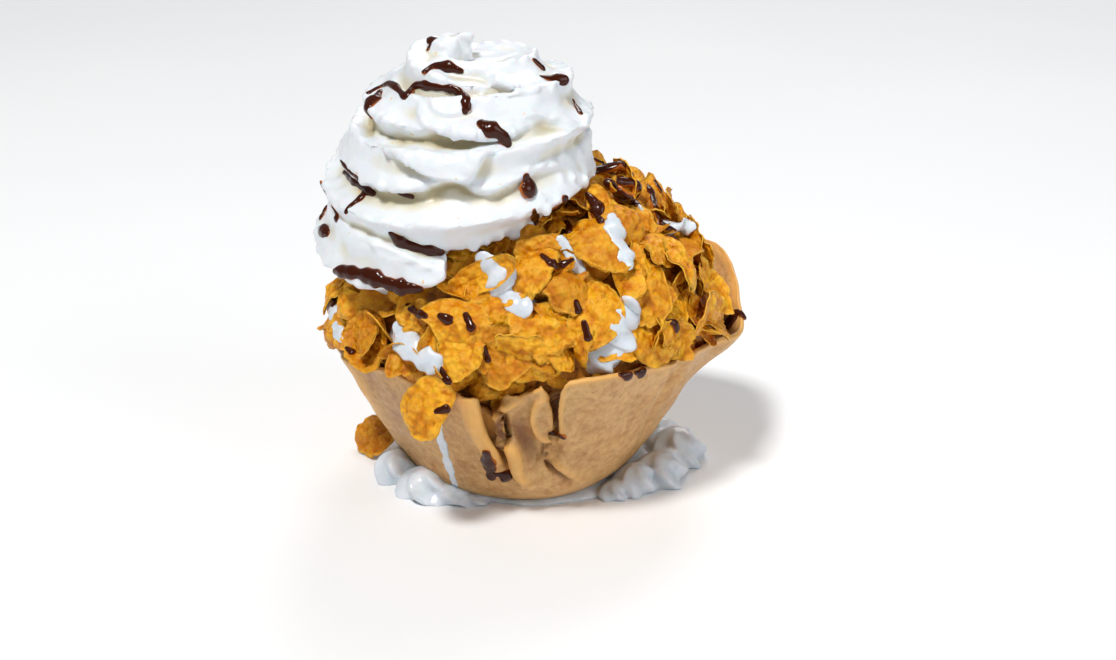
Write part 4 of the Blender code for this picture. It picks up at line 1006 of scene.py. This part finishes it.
def build_ice_cream(surface):
    azimuth = np.linspace(-180.0, 180.0, CORE_COLUMNS, endpoint=False)
    rings = []
    shown = []
    for level in np.linspace(-90.0, 90.0, CORE_ROWS + 1)[1:-1]:
        smooth = core_point(azimuth, level)
        patch = np.zeros(CORE_COLUMNS)
        grow = relief(smooth, CORE_SWELLS)
        for other, height, reach in OPEN_PATCHES:
            across = degrees_apart(azimuth, other) * math.cos(math.radians(level))
            away = np.hypot(across, level - height) / reach
            grow = np.maximum(grow, PATCH_SWELL * np.exp(-(0.8 * away) ** 4) + 0.5 * grow)
            patch = np.maximum(patch, smooth_step(1.8 - away))
        shown.append(patch)
        rings.append(core_point(azimuth, level, grow))
    ball = mesh_piece("ice_cream_ball", *capped_rings(rings), surface)
    # Crumb colour with painted shade wherever the ice cream does not show between the flakes
    paint(ball, "crumb", 1 - np.concatenate([*shown, [0.0, 0.0]]))
    return ball


# Whipped cream
def cream_section(turn):
    """Axis, distance of the rope's middle from it, its height there, and the rope's radius."""
    rope = along(CREAM_ROPE, turn)
    middle = np.maximum(along(CREAM_REACH, turn) - rope, 0.0008)
    angle = np.radians(180.0 + 360.0 * np.asarray(turn, float))
    outward = np.stack([np.sin(angle), np.cos(angle), np.zeros_like(angle)], axis=-1)
    height = along(CREAM_HEIGHT, turn)
    height = height + along(CREAM_LEAN_X, turn) * outward[..., 0] * middle
    height = height + along(CREAM_LEAN_Y, turn) * outward[..., 1] * middle
    return along(CREAM_AXIS, turn), outward, middle, height, rope


def in_cream(points, margin):
    """Whether any of the points lies inside the wound rope, or nearer to it than the margin."""
    for turn in range(-1, 5):
        across = points[:, 0] - along(CREAM_AXIS, turn + 0.5)
        back = points[:, 1] - CREAM_AXIS_Y
        share = (np.degrees(np.arctan2(across, back)) - 180.0) % 360.0 / 360.0
        place = turn + share
        _, _, middle, height, rope = cream_section(place)
        reach = rope * POINT_REACH + margin
        rise = np.abs(points[:, 2] - height)
        out = np.hypot(across, back)
        width = np.sqrt(np.maximum(reach ** 2 - rise ** 2, 0.0))
        there = (place > CREAM_START - 0.01) & (place < CREAM_END) & (rise < reach)
        if np.any(there & (out < middle + width)):
            return True
    return False


def ellipsoid(centre, radii, columns=24, rows=12):
    """Points and faces of an egg-shaped lump."""
    around = np.linspace(0, 2 * np.pi, columns, endpoint=False)
    rings = []
    for level in np.radians(np.linspace(-90, 90, rows + 1)[1:-1]):
        ring = np.stack([np.cos(level) * np.cos(around), np.cos(level) * np.sin(around),
                         np.full(columns, math.sin(level))], axis=-1)
        rings.append(np.array(centre) + ring * np.array(radii))
    return capped_rings(rings)


def fold_moves(points, normals, eye, shift):
    """How far each point moves out to form the fold lips that are seen from the eye."""
    across, up, facing = seen_places(points, normals, eye, shift)
    moves = np.zeros(len(points))
    for depth, reach, *places in FOLD_LIPS:
        line = through(places, 0.9)
        tangent = unit(np.gradient(line, axis=0))
        index = np.flatnonzero((np.abs(across - line[:, 0].mean()) < 45) & (facing > 0))
        best, dx, dz, share = off_the_line(across[index], up[index], line)
        side = tangent[best, 0] * dz - tangent[best, 1] * dx
        off = np.hypot(dx, dz)
        fade = np.sin(np.pi * share) ** 0.6
        lip = np.tanh(side / 0.7) * np.exp(-(off / reach) ** 1.4)
        moves[index] += depth * MM * lip * fade * facing[index]
    return moves


def build_cream(surface):
    steps = int((CREAM_END - CREAM_START) * CREAM_STEPS_PER_TURN)
    beta = np.linspace(0, 2 * np.pi, CREAM_SECTION_POINTS, endpoint=False)
    rings = []
    for turn in np.linspace(CREAM_START, CREAM_END, steps):
        axis_x, outward, middle, height, rope = cream_section(turn)
        start = FIRST_POINT + POINT_TWIST * 2 * np.pi * turn
        scoop = np.abs(np.sin(0.5 * CREAM_POINTS * (beta - start)))
        radius = rope * (POINT_REACH - SCOOP_DEPTH * scoop)
        reach = np.where(np.cos(beta) < 0, 0.96 * middle, radius)
        ring = (middle + reach * np.cos(beta))[:, None] * outward
        ring[:, 0] += axis_x
        ring[:, 1] += CREAM_AXIS_Y
        ring[:, 2] = height + radius * np.sin(beta)
        rings.append(ring)
    points, faces = capped_rings(rings)
    cream = mesh_piece("cream_swirl", points, faces, surface)
    outwards(cream)
    tree = tree_of(cream)
    blobs = [ellipsoid(*CREAM_KNOB)]
    for eye in (VIEW_POINT, BACK_VIEW_POINT):
        for width, length, place in CREAM_DRIPS:
            aim = Vector((place[0] * MM, 0.0, place[1] * MM)) - eye
            hit, normal, _, _ = tree.ray_cast(eye, aim.normalized())
            if hit is not None:
                half = 0.5 * width * MM
                centre = np.array(hit) - DRIP_SINK * half * np.array(normal)
                centre[2] -= DRIP_FALL * length * MM
                blobs.append(ellipsoid(centre, (half, half, 0.5 * length * MM)))
    points, faces = joined([(points, faces), *blobs])
    cream.data.clear_geometry()
    cream.data.from_pydata(points.tolist(), [], faces)
    voxel_skin(cream, CREAM_VOXEL, 2)
    points = places_of(cream)
    normals = normals_of(cream)
    for eye, shift in ((VIEW_POINT, (0.0, 0.0)), (BACK_VIEW_POINT, (5.0, -2.5))):
        points = points + fold_moves(points, normals, eye, shift)[:, None] * normals
    move_points(cream, points)
    normals = normals_of(cream)
    crest = smooth_step(-hollowness(cream, CREST_ROUNDS) / CREST_HEIGHT)
    torn = relief(points, CREAM_LUMPS) + relief(points, CREAM_TEARS) * crest
    move_points(cream, points + torn[:, None] * normals)
    # Painted shade, deeper in the valleys between the folds
    depth = hollowness(cream, VALLEY_ROUNDS)
    paint(cream, "valley_shade", np.clip((depth - VALLEY_START) / VALLEY_DEPTH, 0.0, 1.0))
    return cream


# Corn flakes
def meets_bowl(points, margin):
    """Whether any of the points is in the bowl's wall, or nearer to it than the margin."""
    azimuth = azimuth_of(points)
    out = np.hypot(points[:, 0], points[:, 1])
    low = points[:, 2] < round_the_bowl(RIM_HEIGHTS, azimuth) + margin
    limit = core_radius_limit(azimuth, points[:, 2]) + CORE_CLEARANCE - margin
    return bool(np.any(low & (out > limit)))


def turned(vector, axis, degrees):
    """The vector turned about a unit axis."""
    angle = math.radians(degrees)
    return (vector * math.cos(angle) + np.cross(axis, vector) * math.sin(angle)
            + axis * np.dot(axis, vector) * (1 - math.cos(angle)))


def flake_axes(azimuth, elevation, turn, lean, sway):
    """Length, width and outward axes of a flake that lies on the core."""
    around = direction(np.array(float(azimuth))) * math.cos(math.radians(elevation))
    around[2] = math.sin(math.radians(elevation))
    normal = unit(around / np.array(CORE_AXES))
    up = unit(np.array([0.0, 0.0, 1.0]) - normal * normal[2])
    side = np.cross(up, normal)
    facing = turned(turned(normal, side, -lean), up, sway)
    length = turned(unit(side - facing * np.dot(side, facing)), facing, turn)
    return length, np.cross(facing, length), facing


def free_axes(tilt, turn):
    """Axes of a flake turned by three angles about X, Y and Z, for one that lies off the core."""
    cx, cy, cz = (math.cos(a) for a in tilt)
    sx, sy, sz = (math.sin(a) for a in tilt)
    about_x = np.array([[1, 0, 0], [0, cx, -sx], [0, sx, cx]])
    about_y = np.array([[cy, 0, sy], [0, 1, 0], [-sy, 0, cy]])
    about_z = np.array([[cz, -sz, 0], [sz, cz, 0], [0, 0, 1]])
    frame_axes = about_z @ about_y @ about_x
    length = turned(frame_axes[:, 0], frame_axes[:, 2], turn)
    return length, np.cross(frame_axes[:, 2], length), frame_axes[:, 2]


class Flake:
    """One flake: its outline and its bend, from the same draws as its solid."""

    def __init__(self, seed, centre, axes, size, ratio, bulge):
        self.rng = np.random.default_rng(seed)
        self.waves = []
        for bumps, height in ((2, 0.06), (3, 0.09), (4, 0.06), (5, 0.05)):
            size_share = self.rng.uniform(0.4, 1.0) * height
            self.waves.append((bumps, size_share, self.rng.uniform(0, 2 * np.pi)))
        self.twist = self.rng.uniform(-0.16, 0.16)
        self.bend = self.rng.uniform(0.4, 1.0) * FLAKE_BEND * self.rng.choice([-1, 1])
        self.bend_way = self.rng.uniform(0, np.pi)
        self.painted_shade = 0.0
        self.seed = seed
        self.centre = np.asarray(centre, float)
        self.axes = axes
        self.size = size
        self.ratio = ratio
        self.bulge = bulge

    def outline(self, angle):
        share = np.ones_like(angle)
        for bumps, height, phase in self.waves:
            share = share + height * np.cos(bumps * angle + phase)
        return share

    def place(self, angle, reach, extra=0.0):
        """A point of the flake's middle sheet: reach is 1 on the rim and 0 in the middle."""
        length, width, facing = self.axes
        u = 0.5 * self.size * reach * np.cos(angle)
        v = 0.5 * self.size * self.ratio * reach * np.sin(angle)
        drop = -self.bulge * reach ** 2 + self.twist * u * v / (0.5 * self.size) + 0.5 * self.bulge
        return (self.centre + u[..., None] * length + v[..., None] * width
                + (drop + extra)[..., None] * facing)

    def test_points(self):
        angle = np.linspace(0, 2 * np.pi, 2 * TEST_SIDES, endpoint=False)
        reach = self.outline(angle)
        sheet = np.concatenate([self.place(angle, reach), self.place(angle, 0.6 * reach),
                                self.place(angle[:1], np.zeros(1))])
        half = 0.5 * FLAKE_THICKNESS * self.axes[2]
        return np.concatenate([sheet + half, sheet - half])


def flake_on_core(seed, spec, lifted=0.0, growth=1.0):
    """The flake that a row of a table gives, at its place on the core."""
    azimuth, elevation, size, ratio, turn, lean, sway, lift, bulge = spec
    normal = flake_axes(azimuth, elevation, 0, 0, 0)[2]
    centre = core_point(azimuth, elevation) + (lift + lifted) * normal
    axes = flake_axes(azimuth, elevation, turn, lean, sway)
    return Flake(seed, centre, axes, growth * size, ratio, bulge)


def spiral_places(spacing, tilt, rng):
    """Places evenly spread over the core along a spiral, then varied."""
    golden_angle = 180.0 * (3.0 - math.sqrt(5.0))
    total = int(4 * 180.0 ** 2 / math.pi / spacing ** 2)
    for k in range(total):
        level = math.degrees(math.asin(1.0 - 2.0 * (k + 0.5) / total))
        elevation = level + rng.uniform(-tilt, tilt)
        yield k, degrees_apart(golden_angle * k + rng.uniform(-4.0, 4.0), 0.0), elevation


def filler_flakes():
    """Flakes that cover the rest of the core."""
    rng = np.random.default_rng(FLAKE_SEED)
    found = []
    for _, azimuth, elevation in spiral_places(FLAKE_SPACING, 2.5, rng):
        size, ratio = rng.uniform(0.0150, 0.0225), rng.uniform(0.5, 0.92)
        turn, lean, sway = rng.uniform(-90, 90), rng.normal(6, 18), rng.normal(0, 16)
        lift, bulge = rng.uniform(0.0024, 0.0046), rng.uniform(-0.0026, 0.0026)
        if elevation > FILLER_LOWEST:
            found.append((azimuth, elevation, size, ratio, turn, lean, sway, lift, bulge))
    return found


def near_any(azimuth, elevation, places):
    """Whether a place on the core is within the reach of one of these."""
    for other_azimuth, other_elevation, reach in places:
        across = degrees_apart(azimuth, other_azimuth) * math.cos(math.radians(elevation))
        if math.hypot(across, elevation - other_elevation) < reach:
            return True
    return False


def settled_flake(seed, spec):
    """The flake, moved and shrunk until it clears the bowl and the cream, or None."""
    azimuth, elevation, size, *rest = spec
    for _ in range(SETTLING_STEPS):
        flake = flake_on_core(seed, (azimuth, elevation, size, *rest), FLAKE_RAISE, FLAKE_GROWTH)
        samples = flake.test_points()
        crosses_cream = in_cream(samples, CREAM_MARGIN)
        if not crosses_cream and not meets_bowl(samples, BOWL_MARGIN):
            return flake
        elevation += -SETTLING_SHIFT if crosses_cream else SETTLING_SHIFT
        size *= SETTLING_SHRINK
    flake = flake_on_core(seed, spec)
    sunk = in_cream(flake.centre[None], CREAM_CROSSING)
    return None if sunk or meets_bowl(flake.test_points(), BOWL_MARGIN) else flake


def loose_flake(number, tilt, spec):
    """A flake that lies off the ball."""
    centre, size, ratio, turn, bulge = spec
    return Flake(FLAKE_SEED - number, centre, free_axes(tilt, turn), size, ratio, bulge)


def settled_flakes():
    hanging = loose_flake(1, HANGING_TILT, HANGING_FLAKE)
    hanging.bend *= HANGING_BEND
    taken = [(*spec[:2], FRONT_FLAKE_ROOM) for spec in FRONT_FLAKES]
    fillers = [s for s in filler_flakes() if not near_any(*s[:2], taken)]
    settled = [settled_flake(FLAKE_SEED + k, s) for k, s in enumerate((*FRONT_FLAKES, *fillers))]
    return [hanging] + [flake for flake in settled if flake is not None]


def flake_skin(flake, rings, segments):
    """Points, faces and painted numbers of one bubbled sheet with a thin ragged rim."""
    angle = np.linspace(0, 2 * np.pi, segments, endpoint=False)
    rim = flake.outline(angle)
    on_rim = np.stack([np.cos(angle), np.sin(angle), np.full(segments, 0.37 * flake.seed)], -1)
    rim = rim * (1 + 0.10 * noise_field(on_rim, 0.42, 41) + 0.07 * noise_field(on_rim, 0.20, 43))
    shares = np.linspace(0, 1, rings + 1)[1:] ** 0.85
    reach = np.concatenate([[0.0], (shares[:, None] * rim).ravel()])
    turn = np.concatenate([[0.0], np.tile(angle, rings)])
    edge = np.concatenate([[0.0], np.repeat(shares, segments)])
    flat = flake.place(turn, reach)
    local = flat + np.array([0.11, 0.07, 0.05]) * (flake.seed % 97)
    wave = WAVE_HEIGHT * noise_field(local, WAVE_SIZE, 45)
    blister = blister_field(local, BLISTER_SIZE, 47)
    grain = noise_field(local, GRAIN_SIZE, 49)
    across = reach * np.cos(turn) * np.cos(flake.bend_way)
    across = across + flake.ratio * reach * np.sin(turn) * np.sin(flake.bend_way)
    curl = flake.bend * (np.abs(across) ** 2.2 - 0.25)
    height = wave + curl + BLISTER_HEIGHT * (blister - 0.4) + GRAIN_HEIGHT * grain
    sheet = flake.place(turn, reach, height)
    thickness = FLAKE_THICKNESS * (1 - 0.6 * edge ** 3) * (1 + 0.2 * grain)
    half = 0.5 * thickness[:, None] * flake.axes[2]
    points = np.concatenate([sheet + half, sheet - half])
    count = len(sheet)
    faces = []
    for side, first in ((-1, 0), (1, count)):
        quads = ring_faces(rings, segments, first + 1)
        fan = [(first, first + 1 + (c + 1) % segments, first + 1 + c) for c in range(segments)]
        faces += [f[::side] for f in quads] + [f[::side] for f in fan]
    last = 1 + (rings - 1) * segments
    for c in range(segments):
        after = (c + 1) % segments
        faces.append((last + c, last + after, count + last + after, count + last + c))
    # A random tone of its own, pushed darker by the painted shade of a flake that lies deep
    own = flake.rng.uniform(0, 1) ** 1.6
    tone_and_shade = np.full(2 * count, flake.painted_shade + (1 - flake.painted_shade) * own)
    return points, faces, np.tile(blister, 2), np.tile(edge, 2), tone_and_shade


def flake_piece(name, flakes, detail, surface):
    """Many flakes joined into one mesh."""
    skins = [flake_skin(flake, *detail) for flake in flakes]
    piece = mesh_piece(name, *joined([skin[:2] for skin in skins]), surface)
    for k, number in enumerate(("blister", "edge", "tone_and_shade"), 2):
        paint(piece, number, np.concatenate([skin[k] for skin in skins]))
    return piece


def inside_shell(tree, flake):
    """The flake shrinks until it lies inside the bowl's inner wall; False if it never does."""
    for _ in range(UNDER_TRIES):
        for point in flake.test_points():
            near, _, _, distance = tree.find_nearest(Vector(point))
            beyond = math.hypot(point[0], point[1]) > math.hypot(near[0], near[1])
            if (distance < WALL_ROOM or beyond) and point[2] < near[2] + WALL_ROOM:
                break
        else:
            return True
        flake.size *= UNDER_SHRINK
        flake.centre = flake.centre - UNDER_SINK * flake.axes[2]
    return False


def under_flakes(shell_tree):
    """Small flakes close to the ice cream, at all angles, that close most of the gaps."""
    rng = np.random.default_rng(FLAKE_SEED + 500)
    wanted = []
    for k, azimuth, elevation in spiral_places(UNDER_SPACING, 3.0, rng):
        size, ratio = rng.uniform(0.0115, 0.0180), rng.uniform(0.5, 0.9)
        steepness = 8 if elevation < 8 else 24
        turn = rng.uniform(-90, 90)
        lean, sway = rng.normal(8, steepness), rng.normal(0, steepness)
        lift, bulge = rng.uniform(0.0006, 0.0020), rng.uniform(-0.0018, 0.0018)
        if elevation >= UNDER_LOWEST and not near_any(azimuth, elevation, OPEN_PATCHES):
            spec = (azimuth, elevation, size, ratio, turn, lean, sway, lift, bulge)
            flake = flake_on_core(FLAKE_SEED + 500 + k, spec)
            if not in_cream(flake.centre[None], UNDER_CREAM_MARGIN):
                wanted.append((flake, UNDER_PAINTED_SHADE))
    for k, spec in enumerate(EXTRA_FLAKES):
        wanted.append((flake_on_core(FLAKE_SEED + 800 + k, spec), EXTRA_PAINTED_SHADE))
    # These lie deep between the others, so their colour gets painted shade
    for flake, painted_shade in wanted:
        flake.bend *= UNDER_BEND
        flake.painted_shade = painted_shade
    return [flake for flake, _ in wanted if inside_shell(shell_tree, flake)]


def build_crumbs(surface):
    """Broken bits of flake in the gaps between the flakes."""
    rng = np.random.default_rng(FLAKE_SEED + 900)
    crumbs = []
    while len(crumbs) < CRUMB_COUNT:
        azimuth = rng.uniform(-180, 180)
        elevation = math.degrees(math.asin(rng.uniform(-0.15, 0.95)))
        turn, lean, sway = rng.uniform(-90, 90), rng.normal(0, 22), rng.normal(0, 22)
        lift, size = rng.uniform(0.0008, 0.0030), rng.uniform(0.005, 0.011)
        ratio, bulge = rng.uniform(0.5, 0.9), rng.uniform(-0.0012, 0.0012)
        spec = (azimuth, elevation, size, ratio, turn, lean, sway, lift, bulge)
        crumb = flake_on_core(FLAKE_SEED + 1000 + len(crumbs), spec)
        if not meets_bowl(crumb.test_points(), BOWL_MARGIN):
            crumbs.append(crumb)
    return flake_piece("flake_crumbs", crumbs, CRUMB_MESH, surface)


# Sauce
def strand_path(tree, heading, places):
    """Where the places meet the surface, seen from the view point turned to this heading."""
    hits, normals = [], []
    turn = Matrix.Rotation(math.radians(heading), 3, "Z")
    eye = turn @ VIEW_POINT
    for x, z in through(places, STRAND_SPACING):
        aim = turn @ Vector((x * MM, 0.0, z * MM)) - eye
        hit, normal, _, _ = tree.ray_cast(eye, aim.normalized())
        if hit is not None:
            hits.append(np.array(hit))
            normals.append(np.array(normal if normal.dot(aim) < 0 else -normal))
    hits, normals = np.array(hits).reshape(-1, 3), np.array(normals).reshape(-1, 3)
    jumps = np.flatnonzero(np.linalg.norm(np.diff(hits, axis=0), axis=1) > LONGEST_JUMP)
    ends = [0, *(jumps + 1), len(hits)]
    start, end = max(zip(ends, ends[1:]), key=lambda part: part[1] - part[0])
    return hits[start:end], normals[start:end]


def eased(rows, rounds):
    """Rows of points smoothed along their length, with the ends kept."""
    rows = rows.copy()
    for _ in range(rounds):
        rows[1:-1] = 0.25 * rows[:-2] + 0.5 * rows[1:-1] + 0.25 * rows[2:]
    return rows


def strand_skin(path, normals, width, flatness, smoothing, rng, sides=14):
    """A rounded strand of sauce lying on its path, thicker and thinner along the way."""
    path = eased(path, smoothing)
    count = len(path)
    forward = unit(np.gradient(path, axis=0))
    side = unit(np.cross(forward, eased(normals, smoothing)))
    up = np.cross(side, forward)
    share = np.linspace(0, 1, count)
    length = np.linalg.norm(np.diff(path, axis=0), axis=1).sum()
    rounds = length / SWELLING_LENGTH
    swell = 1 + 0.20 * np.sin(2 * np.pi * (share * rounds + rng.uniform(0, 1)))
    swell = swell * (1 + 0.10 * np.sin(2 * np.pi * (2.3 * share * rounds + rng.uniform(0, 1))))
    if length > DROP_LENGTH:
        taper = 0.62 + 0.38 * np.sin(np.pi * share) ** 0.7
    else:
        taper = 0.55 + 0.65 * share ** 1.4
    half = 0.5 * width * swell * taper
    angle = np.linspace(0, 2 * np.pi, sides, endpoint=False)
    rings, thin = [], []
    ends = [(0, -1, t) for t in (88, 66, 44, 22)] + [(k, 0, 0) for k in range(count)]
    ends += [(count - 1, 1, t) for t in (22, 44, 66, 88)]
    for k, way, turn in ends:
        shrink = math.cos(math.radians(turn))
        centre = path[k] + way * forward[k] * half[k] * math.sin(math.radians(turn))
        ring = centre + half[k] * shrink * (np.cos(angle)[:, None] * side[k]
                                            + flatness * np.sin(angle)[:, None] * up[k])
        rings.append(ring)
        thin.append(np.clip(1.15 - np.maximum(np.sin(angle), 0) * 2.2 * shrink, 0, 1))
    points, faces = capped_rings(rings)
    return points, faces, np.concatenate([*thin, [1.0], [1.0]])


def on_all_sides(strands, sides):
    """The front's strands with some of them moved to the other sides, each with its heading."""
    found = [(0, strand) for strand in strands]
    for heading, mirror, across, up, first, step in sides:
        for width, *places in strands[first::step]:
            moved = [(mirror * x + across, z + up) for x, z in places]
            found.append((heading, (width, *moved)))
    return found


def faces_heading(normals, heading):
    """Whether a strand lies on the side that is seen from its heading."""
    angle = math.radians(heading)
    mean = normals.mean(axis=0)
    towards = mean[0] * math.sin(angle) - mean[1] * math.cos(angle)
    return towards > SIDE_FACING * math.hypot(mean[0], mean[1])


def sauce_piece(name, tree, strands, surface, flatness=0.55, smoothing=20, seed=0, wider=1.0,
                sink=0.0):
    """One mesh of all the strands, each with the heading that it is seen from."""
    rng = np.random.default_rng(SAUCE_SEED + seed)
    skins = []
    for heading, (width, *places) in strands:
        path, normals = strand_path(tree, heading, places)
        width *= wider
        if len(path) < 4 or heading and not faces_heading(normals, heading):
            continue
        path = path - sink * width * MM * eased(normals, smoothing)
        skins.append(strand_skin(path, normals, width * MM, flatness, smoothing, rng))
    piece = mesh_piece(name, *joined([skin[:2] for skin in skins]), surface)
    outwards(piece)
    paint(piece, "thin", np.concatenate([skin[2] for skin in skins]))
    return piece


# Melted cream round the foot
def build_foot_cream(surface):
    rings = []
    azimuth = np.linspace(-180.0, 180.0, 120, endpoint=False)
    wobble = np.sin(np.radians(5 * azimuth)) + np.cos(np.radians(9 * azimuth))
    outer = round_the_bowl(FOAM_REACHES, azimuth) + 0.0005 * wobble
    inner = round_the_bowl(FOOT_RADII, azimuth) - 0.002
    for across, up in FOAM_SECTION:
        radius = 0.5 * (outer + inner) + 0.5 * across * (outer - inner)
        ring = radius[:, None] * direction(azimuth)
        ring[:, 2] = up * FOAM_HEIGHT
        rings.append(ring)
    skins = [(np.concatenate([*rings, rings[0]]), ring_faces(len(rings) + 1, len(azimuth)))]
    around = np.linspace(0, 2 * np.pi, 48, endpoint=False)
    for azimuth, distance, radius, height in FOOT_LUMPS:
        centre = distance * direction(np.array(float(azimuth)))
        lump = []
        for share in np.linspace(0, 0.97, 16):
            fluting = 1.10 - 0.34 * np.abs(np.sin(2.5 * around + azimuth + 3.4 * share)) ** 1.3
            width = radius * math.sqrt(1 - share ** 1.9) * fluting
            ring = np.stack([width * np.cos(around), width * np.sin(around),
                             np.full(len(around), height * share)], axis=-1)
            lean = 0.25 * radius * share * direction(np.array(float(azimuth) + 60))
            lump.append(ring + centre + lean)
        skins.append(capped_rings(lump))
    foot = mesh_piece("foot_cream", *joined(skins), surface)
    voxel_skin(foot, FOOT_VOXEL, 3)
    points = places_of(foot)
    wave = relief(points, FOOT_WAVES) * smooth_step(points[:, 2] / 0.0015)
    points = points + wave[:, None] * normals_of(foot)
    points[:, 2] = np.maximum(points[:, 2], 0.0)
    move_points(foot, points)
    return foot


# The pieces
tortilla = tortilla_look()
golden = flake_look("corn_flake")
ice_cream = ice_cream_look()
cream_white = cream_look()
melt = melt_look()
chocolate = sauce_look()

shell = build_shell(tortilla)
shell_tree = tree_of(shell)
ball = build_ice_cream(ice_cream)
flakes = flake_piece("corn_flakes", settled_flakes(), FLAKE_MESH, golden)
under = flake_piece("under_flakes", under_flakes(shell_tree), UNDER_MESH, golden)
crumbs = build_crumbs(golden)
cream = build_cream(cream_white)
foot = build_foot_cream(melt)

fallen = flake_piece("loose_flake", [loose_flake(2, FALLEN_TILT, FALLEN_FLAKE)], LOOSE_MESH,
                     golden)
points = places_of(fallen)
points[:, 2] -= points[:, 2].min()
move_points(fallen, points)

cream_tree = tree_of(cream)
all_tree = tree_of(cream, flakes, under, crumbs, ball, shell)
food_tree = tree_of(flakes, under, ball)
cream_sauce = sauce_piece("cream_sauce", cream_tree, on_all_sides(CREAM_SAUCE, CREAM_SAUCE_SIDES),
                          chocolate, flatness=0.62, seed=1, wider=1.25)
flake_sauce = sauce_piece("flake_sauce", all_tree, on_all_sides(FLAKE_SAUCE, FLAKE_SAUCE_SIDES),
                          chocolate, flatness=0.62, smoothing=12, seed=2, wider=1.25)
shell_sauce = sauce_piece("shell_sauce", shell_tree, on_all_sides(SHELL_SAUCE, SHELL_SAUCE_SIDES),
                          chocolate, flatness=0.62, seed=3, wider=1.35)
streak = sauce_piece("melt_streak", shell_tree, [(0, MELT_STREAK)], melt, flatness=0.30, seed=4)
runs = sauce_piece("ice_cream_runs", food_tree, on_all_sides(ICE_CREAM_RUNS, RUN_SIDES), melt,
                   flatness=0.42, smoothing=40, seed=5, wider=1.5, sink=0.11)

PIECES_BY_SLOT = {
    "fried_tortilla": (shell, shell_sauce, streak),
    "flakes_and_ice_cream": (ball, flakes, under, crumbs, runs, flake_sauce),
    "whipped_cream": (cream, cream_sauce),
    "melted_cream": (foot,),
    "corn_flake": (fallen,),
}
for slot, pieces in PIECES_BY_SLOT.items():
    for piece in pieces:
        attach(piece, "root")
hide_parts("tortilla_shell")
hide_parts("flaked_ice_cream")
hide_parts("flaked_ice_cream")
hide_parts("whipped_cream")
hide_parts("base_cream")
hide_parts("fallen_flake")


# Floor, light and camera
def add_floor():
    look = Look("pale_floor", Roughness=0.55, Specular_IOR_Level=0.3)
    colour = look.ramp(look.noise(0.5, 2.0), (0.3, srgb(240, 241, 243)),
                       (0.7, srgb(245, 246, 247)))
    points = [(-3, -3, 0), (3, -3, 0), (3, 3, 0), (-3, 3, 0)]
    floor = mesh_piece("floor", points, [(0, 1, 2, 3)], look.feed(Base_Color=colour))
    floor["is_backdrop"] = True


def add_light(name, place, size, power, colour):
    """A square soft light, with its size in metres and its power in watts."""
    light = bpy.data.lights.new(name, "AREA")
    light.size = size
    light.energy = power
    light.color = colour
    lamp = new_object(name, light)
    lamp.location = place
    lamp.rotation_euler = (LIGHT_TARGET - Vector(place)).to_track_quat("-Z", "Y").to_euler()


def add_world(colour, strength):
    world = bpy.data.worlds.new("studio")
    world.use_nodes = True
    background = world.node_tree.nodes["Background"]
    background.inputs["Color"].default_value = colour
    background.inputs["Strength"].default_value = strength
    bpy.context.scene.world = world


def add_camera():
    data = bpy.data.cameras.new("camera")
    data.sensor_width = 36.0
    data.lens = CAMERA_LENS
    data.clip_start = 0.01
    camera = new_object("camera", data)
    camera.location = VIEW_POINT
    camera.rotation_euler = (CAMERA_PITCH, 0.0, 0.0)
    bpy.context.scene.camera = camera


add_floor()
add_light("key", (-0.60, -0.95, 2.15), 0.42, 46.0, (1.0, 0.99, 0.97))
add_light("fill", (1.60, -1.00, 1.00), 1.20, 13.0, (0.98, 0.99, 1.0))
add_light("back", (0.50, 2.60, 2.60), 1.60, 45.0, (1.0, 1.0, 1.0))
add_world((0.97, 0.98, 1.0, 1.0), 0.19)
add_camera()
bpy.context.scene.view_settings.view_transform = "Standard"
bpy.context.scene.view_settings.look = "None"

boxes = {"cad": cad_box, "visual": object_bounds()}
({key: [[float(v) for v in corner] for corner in box]
           for key, box in boxes.items()})
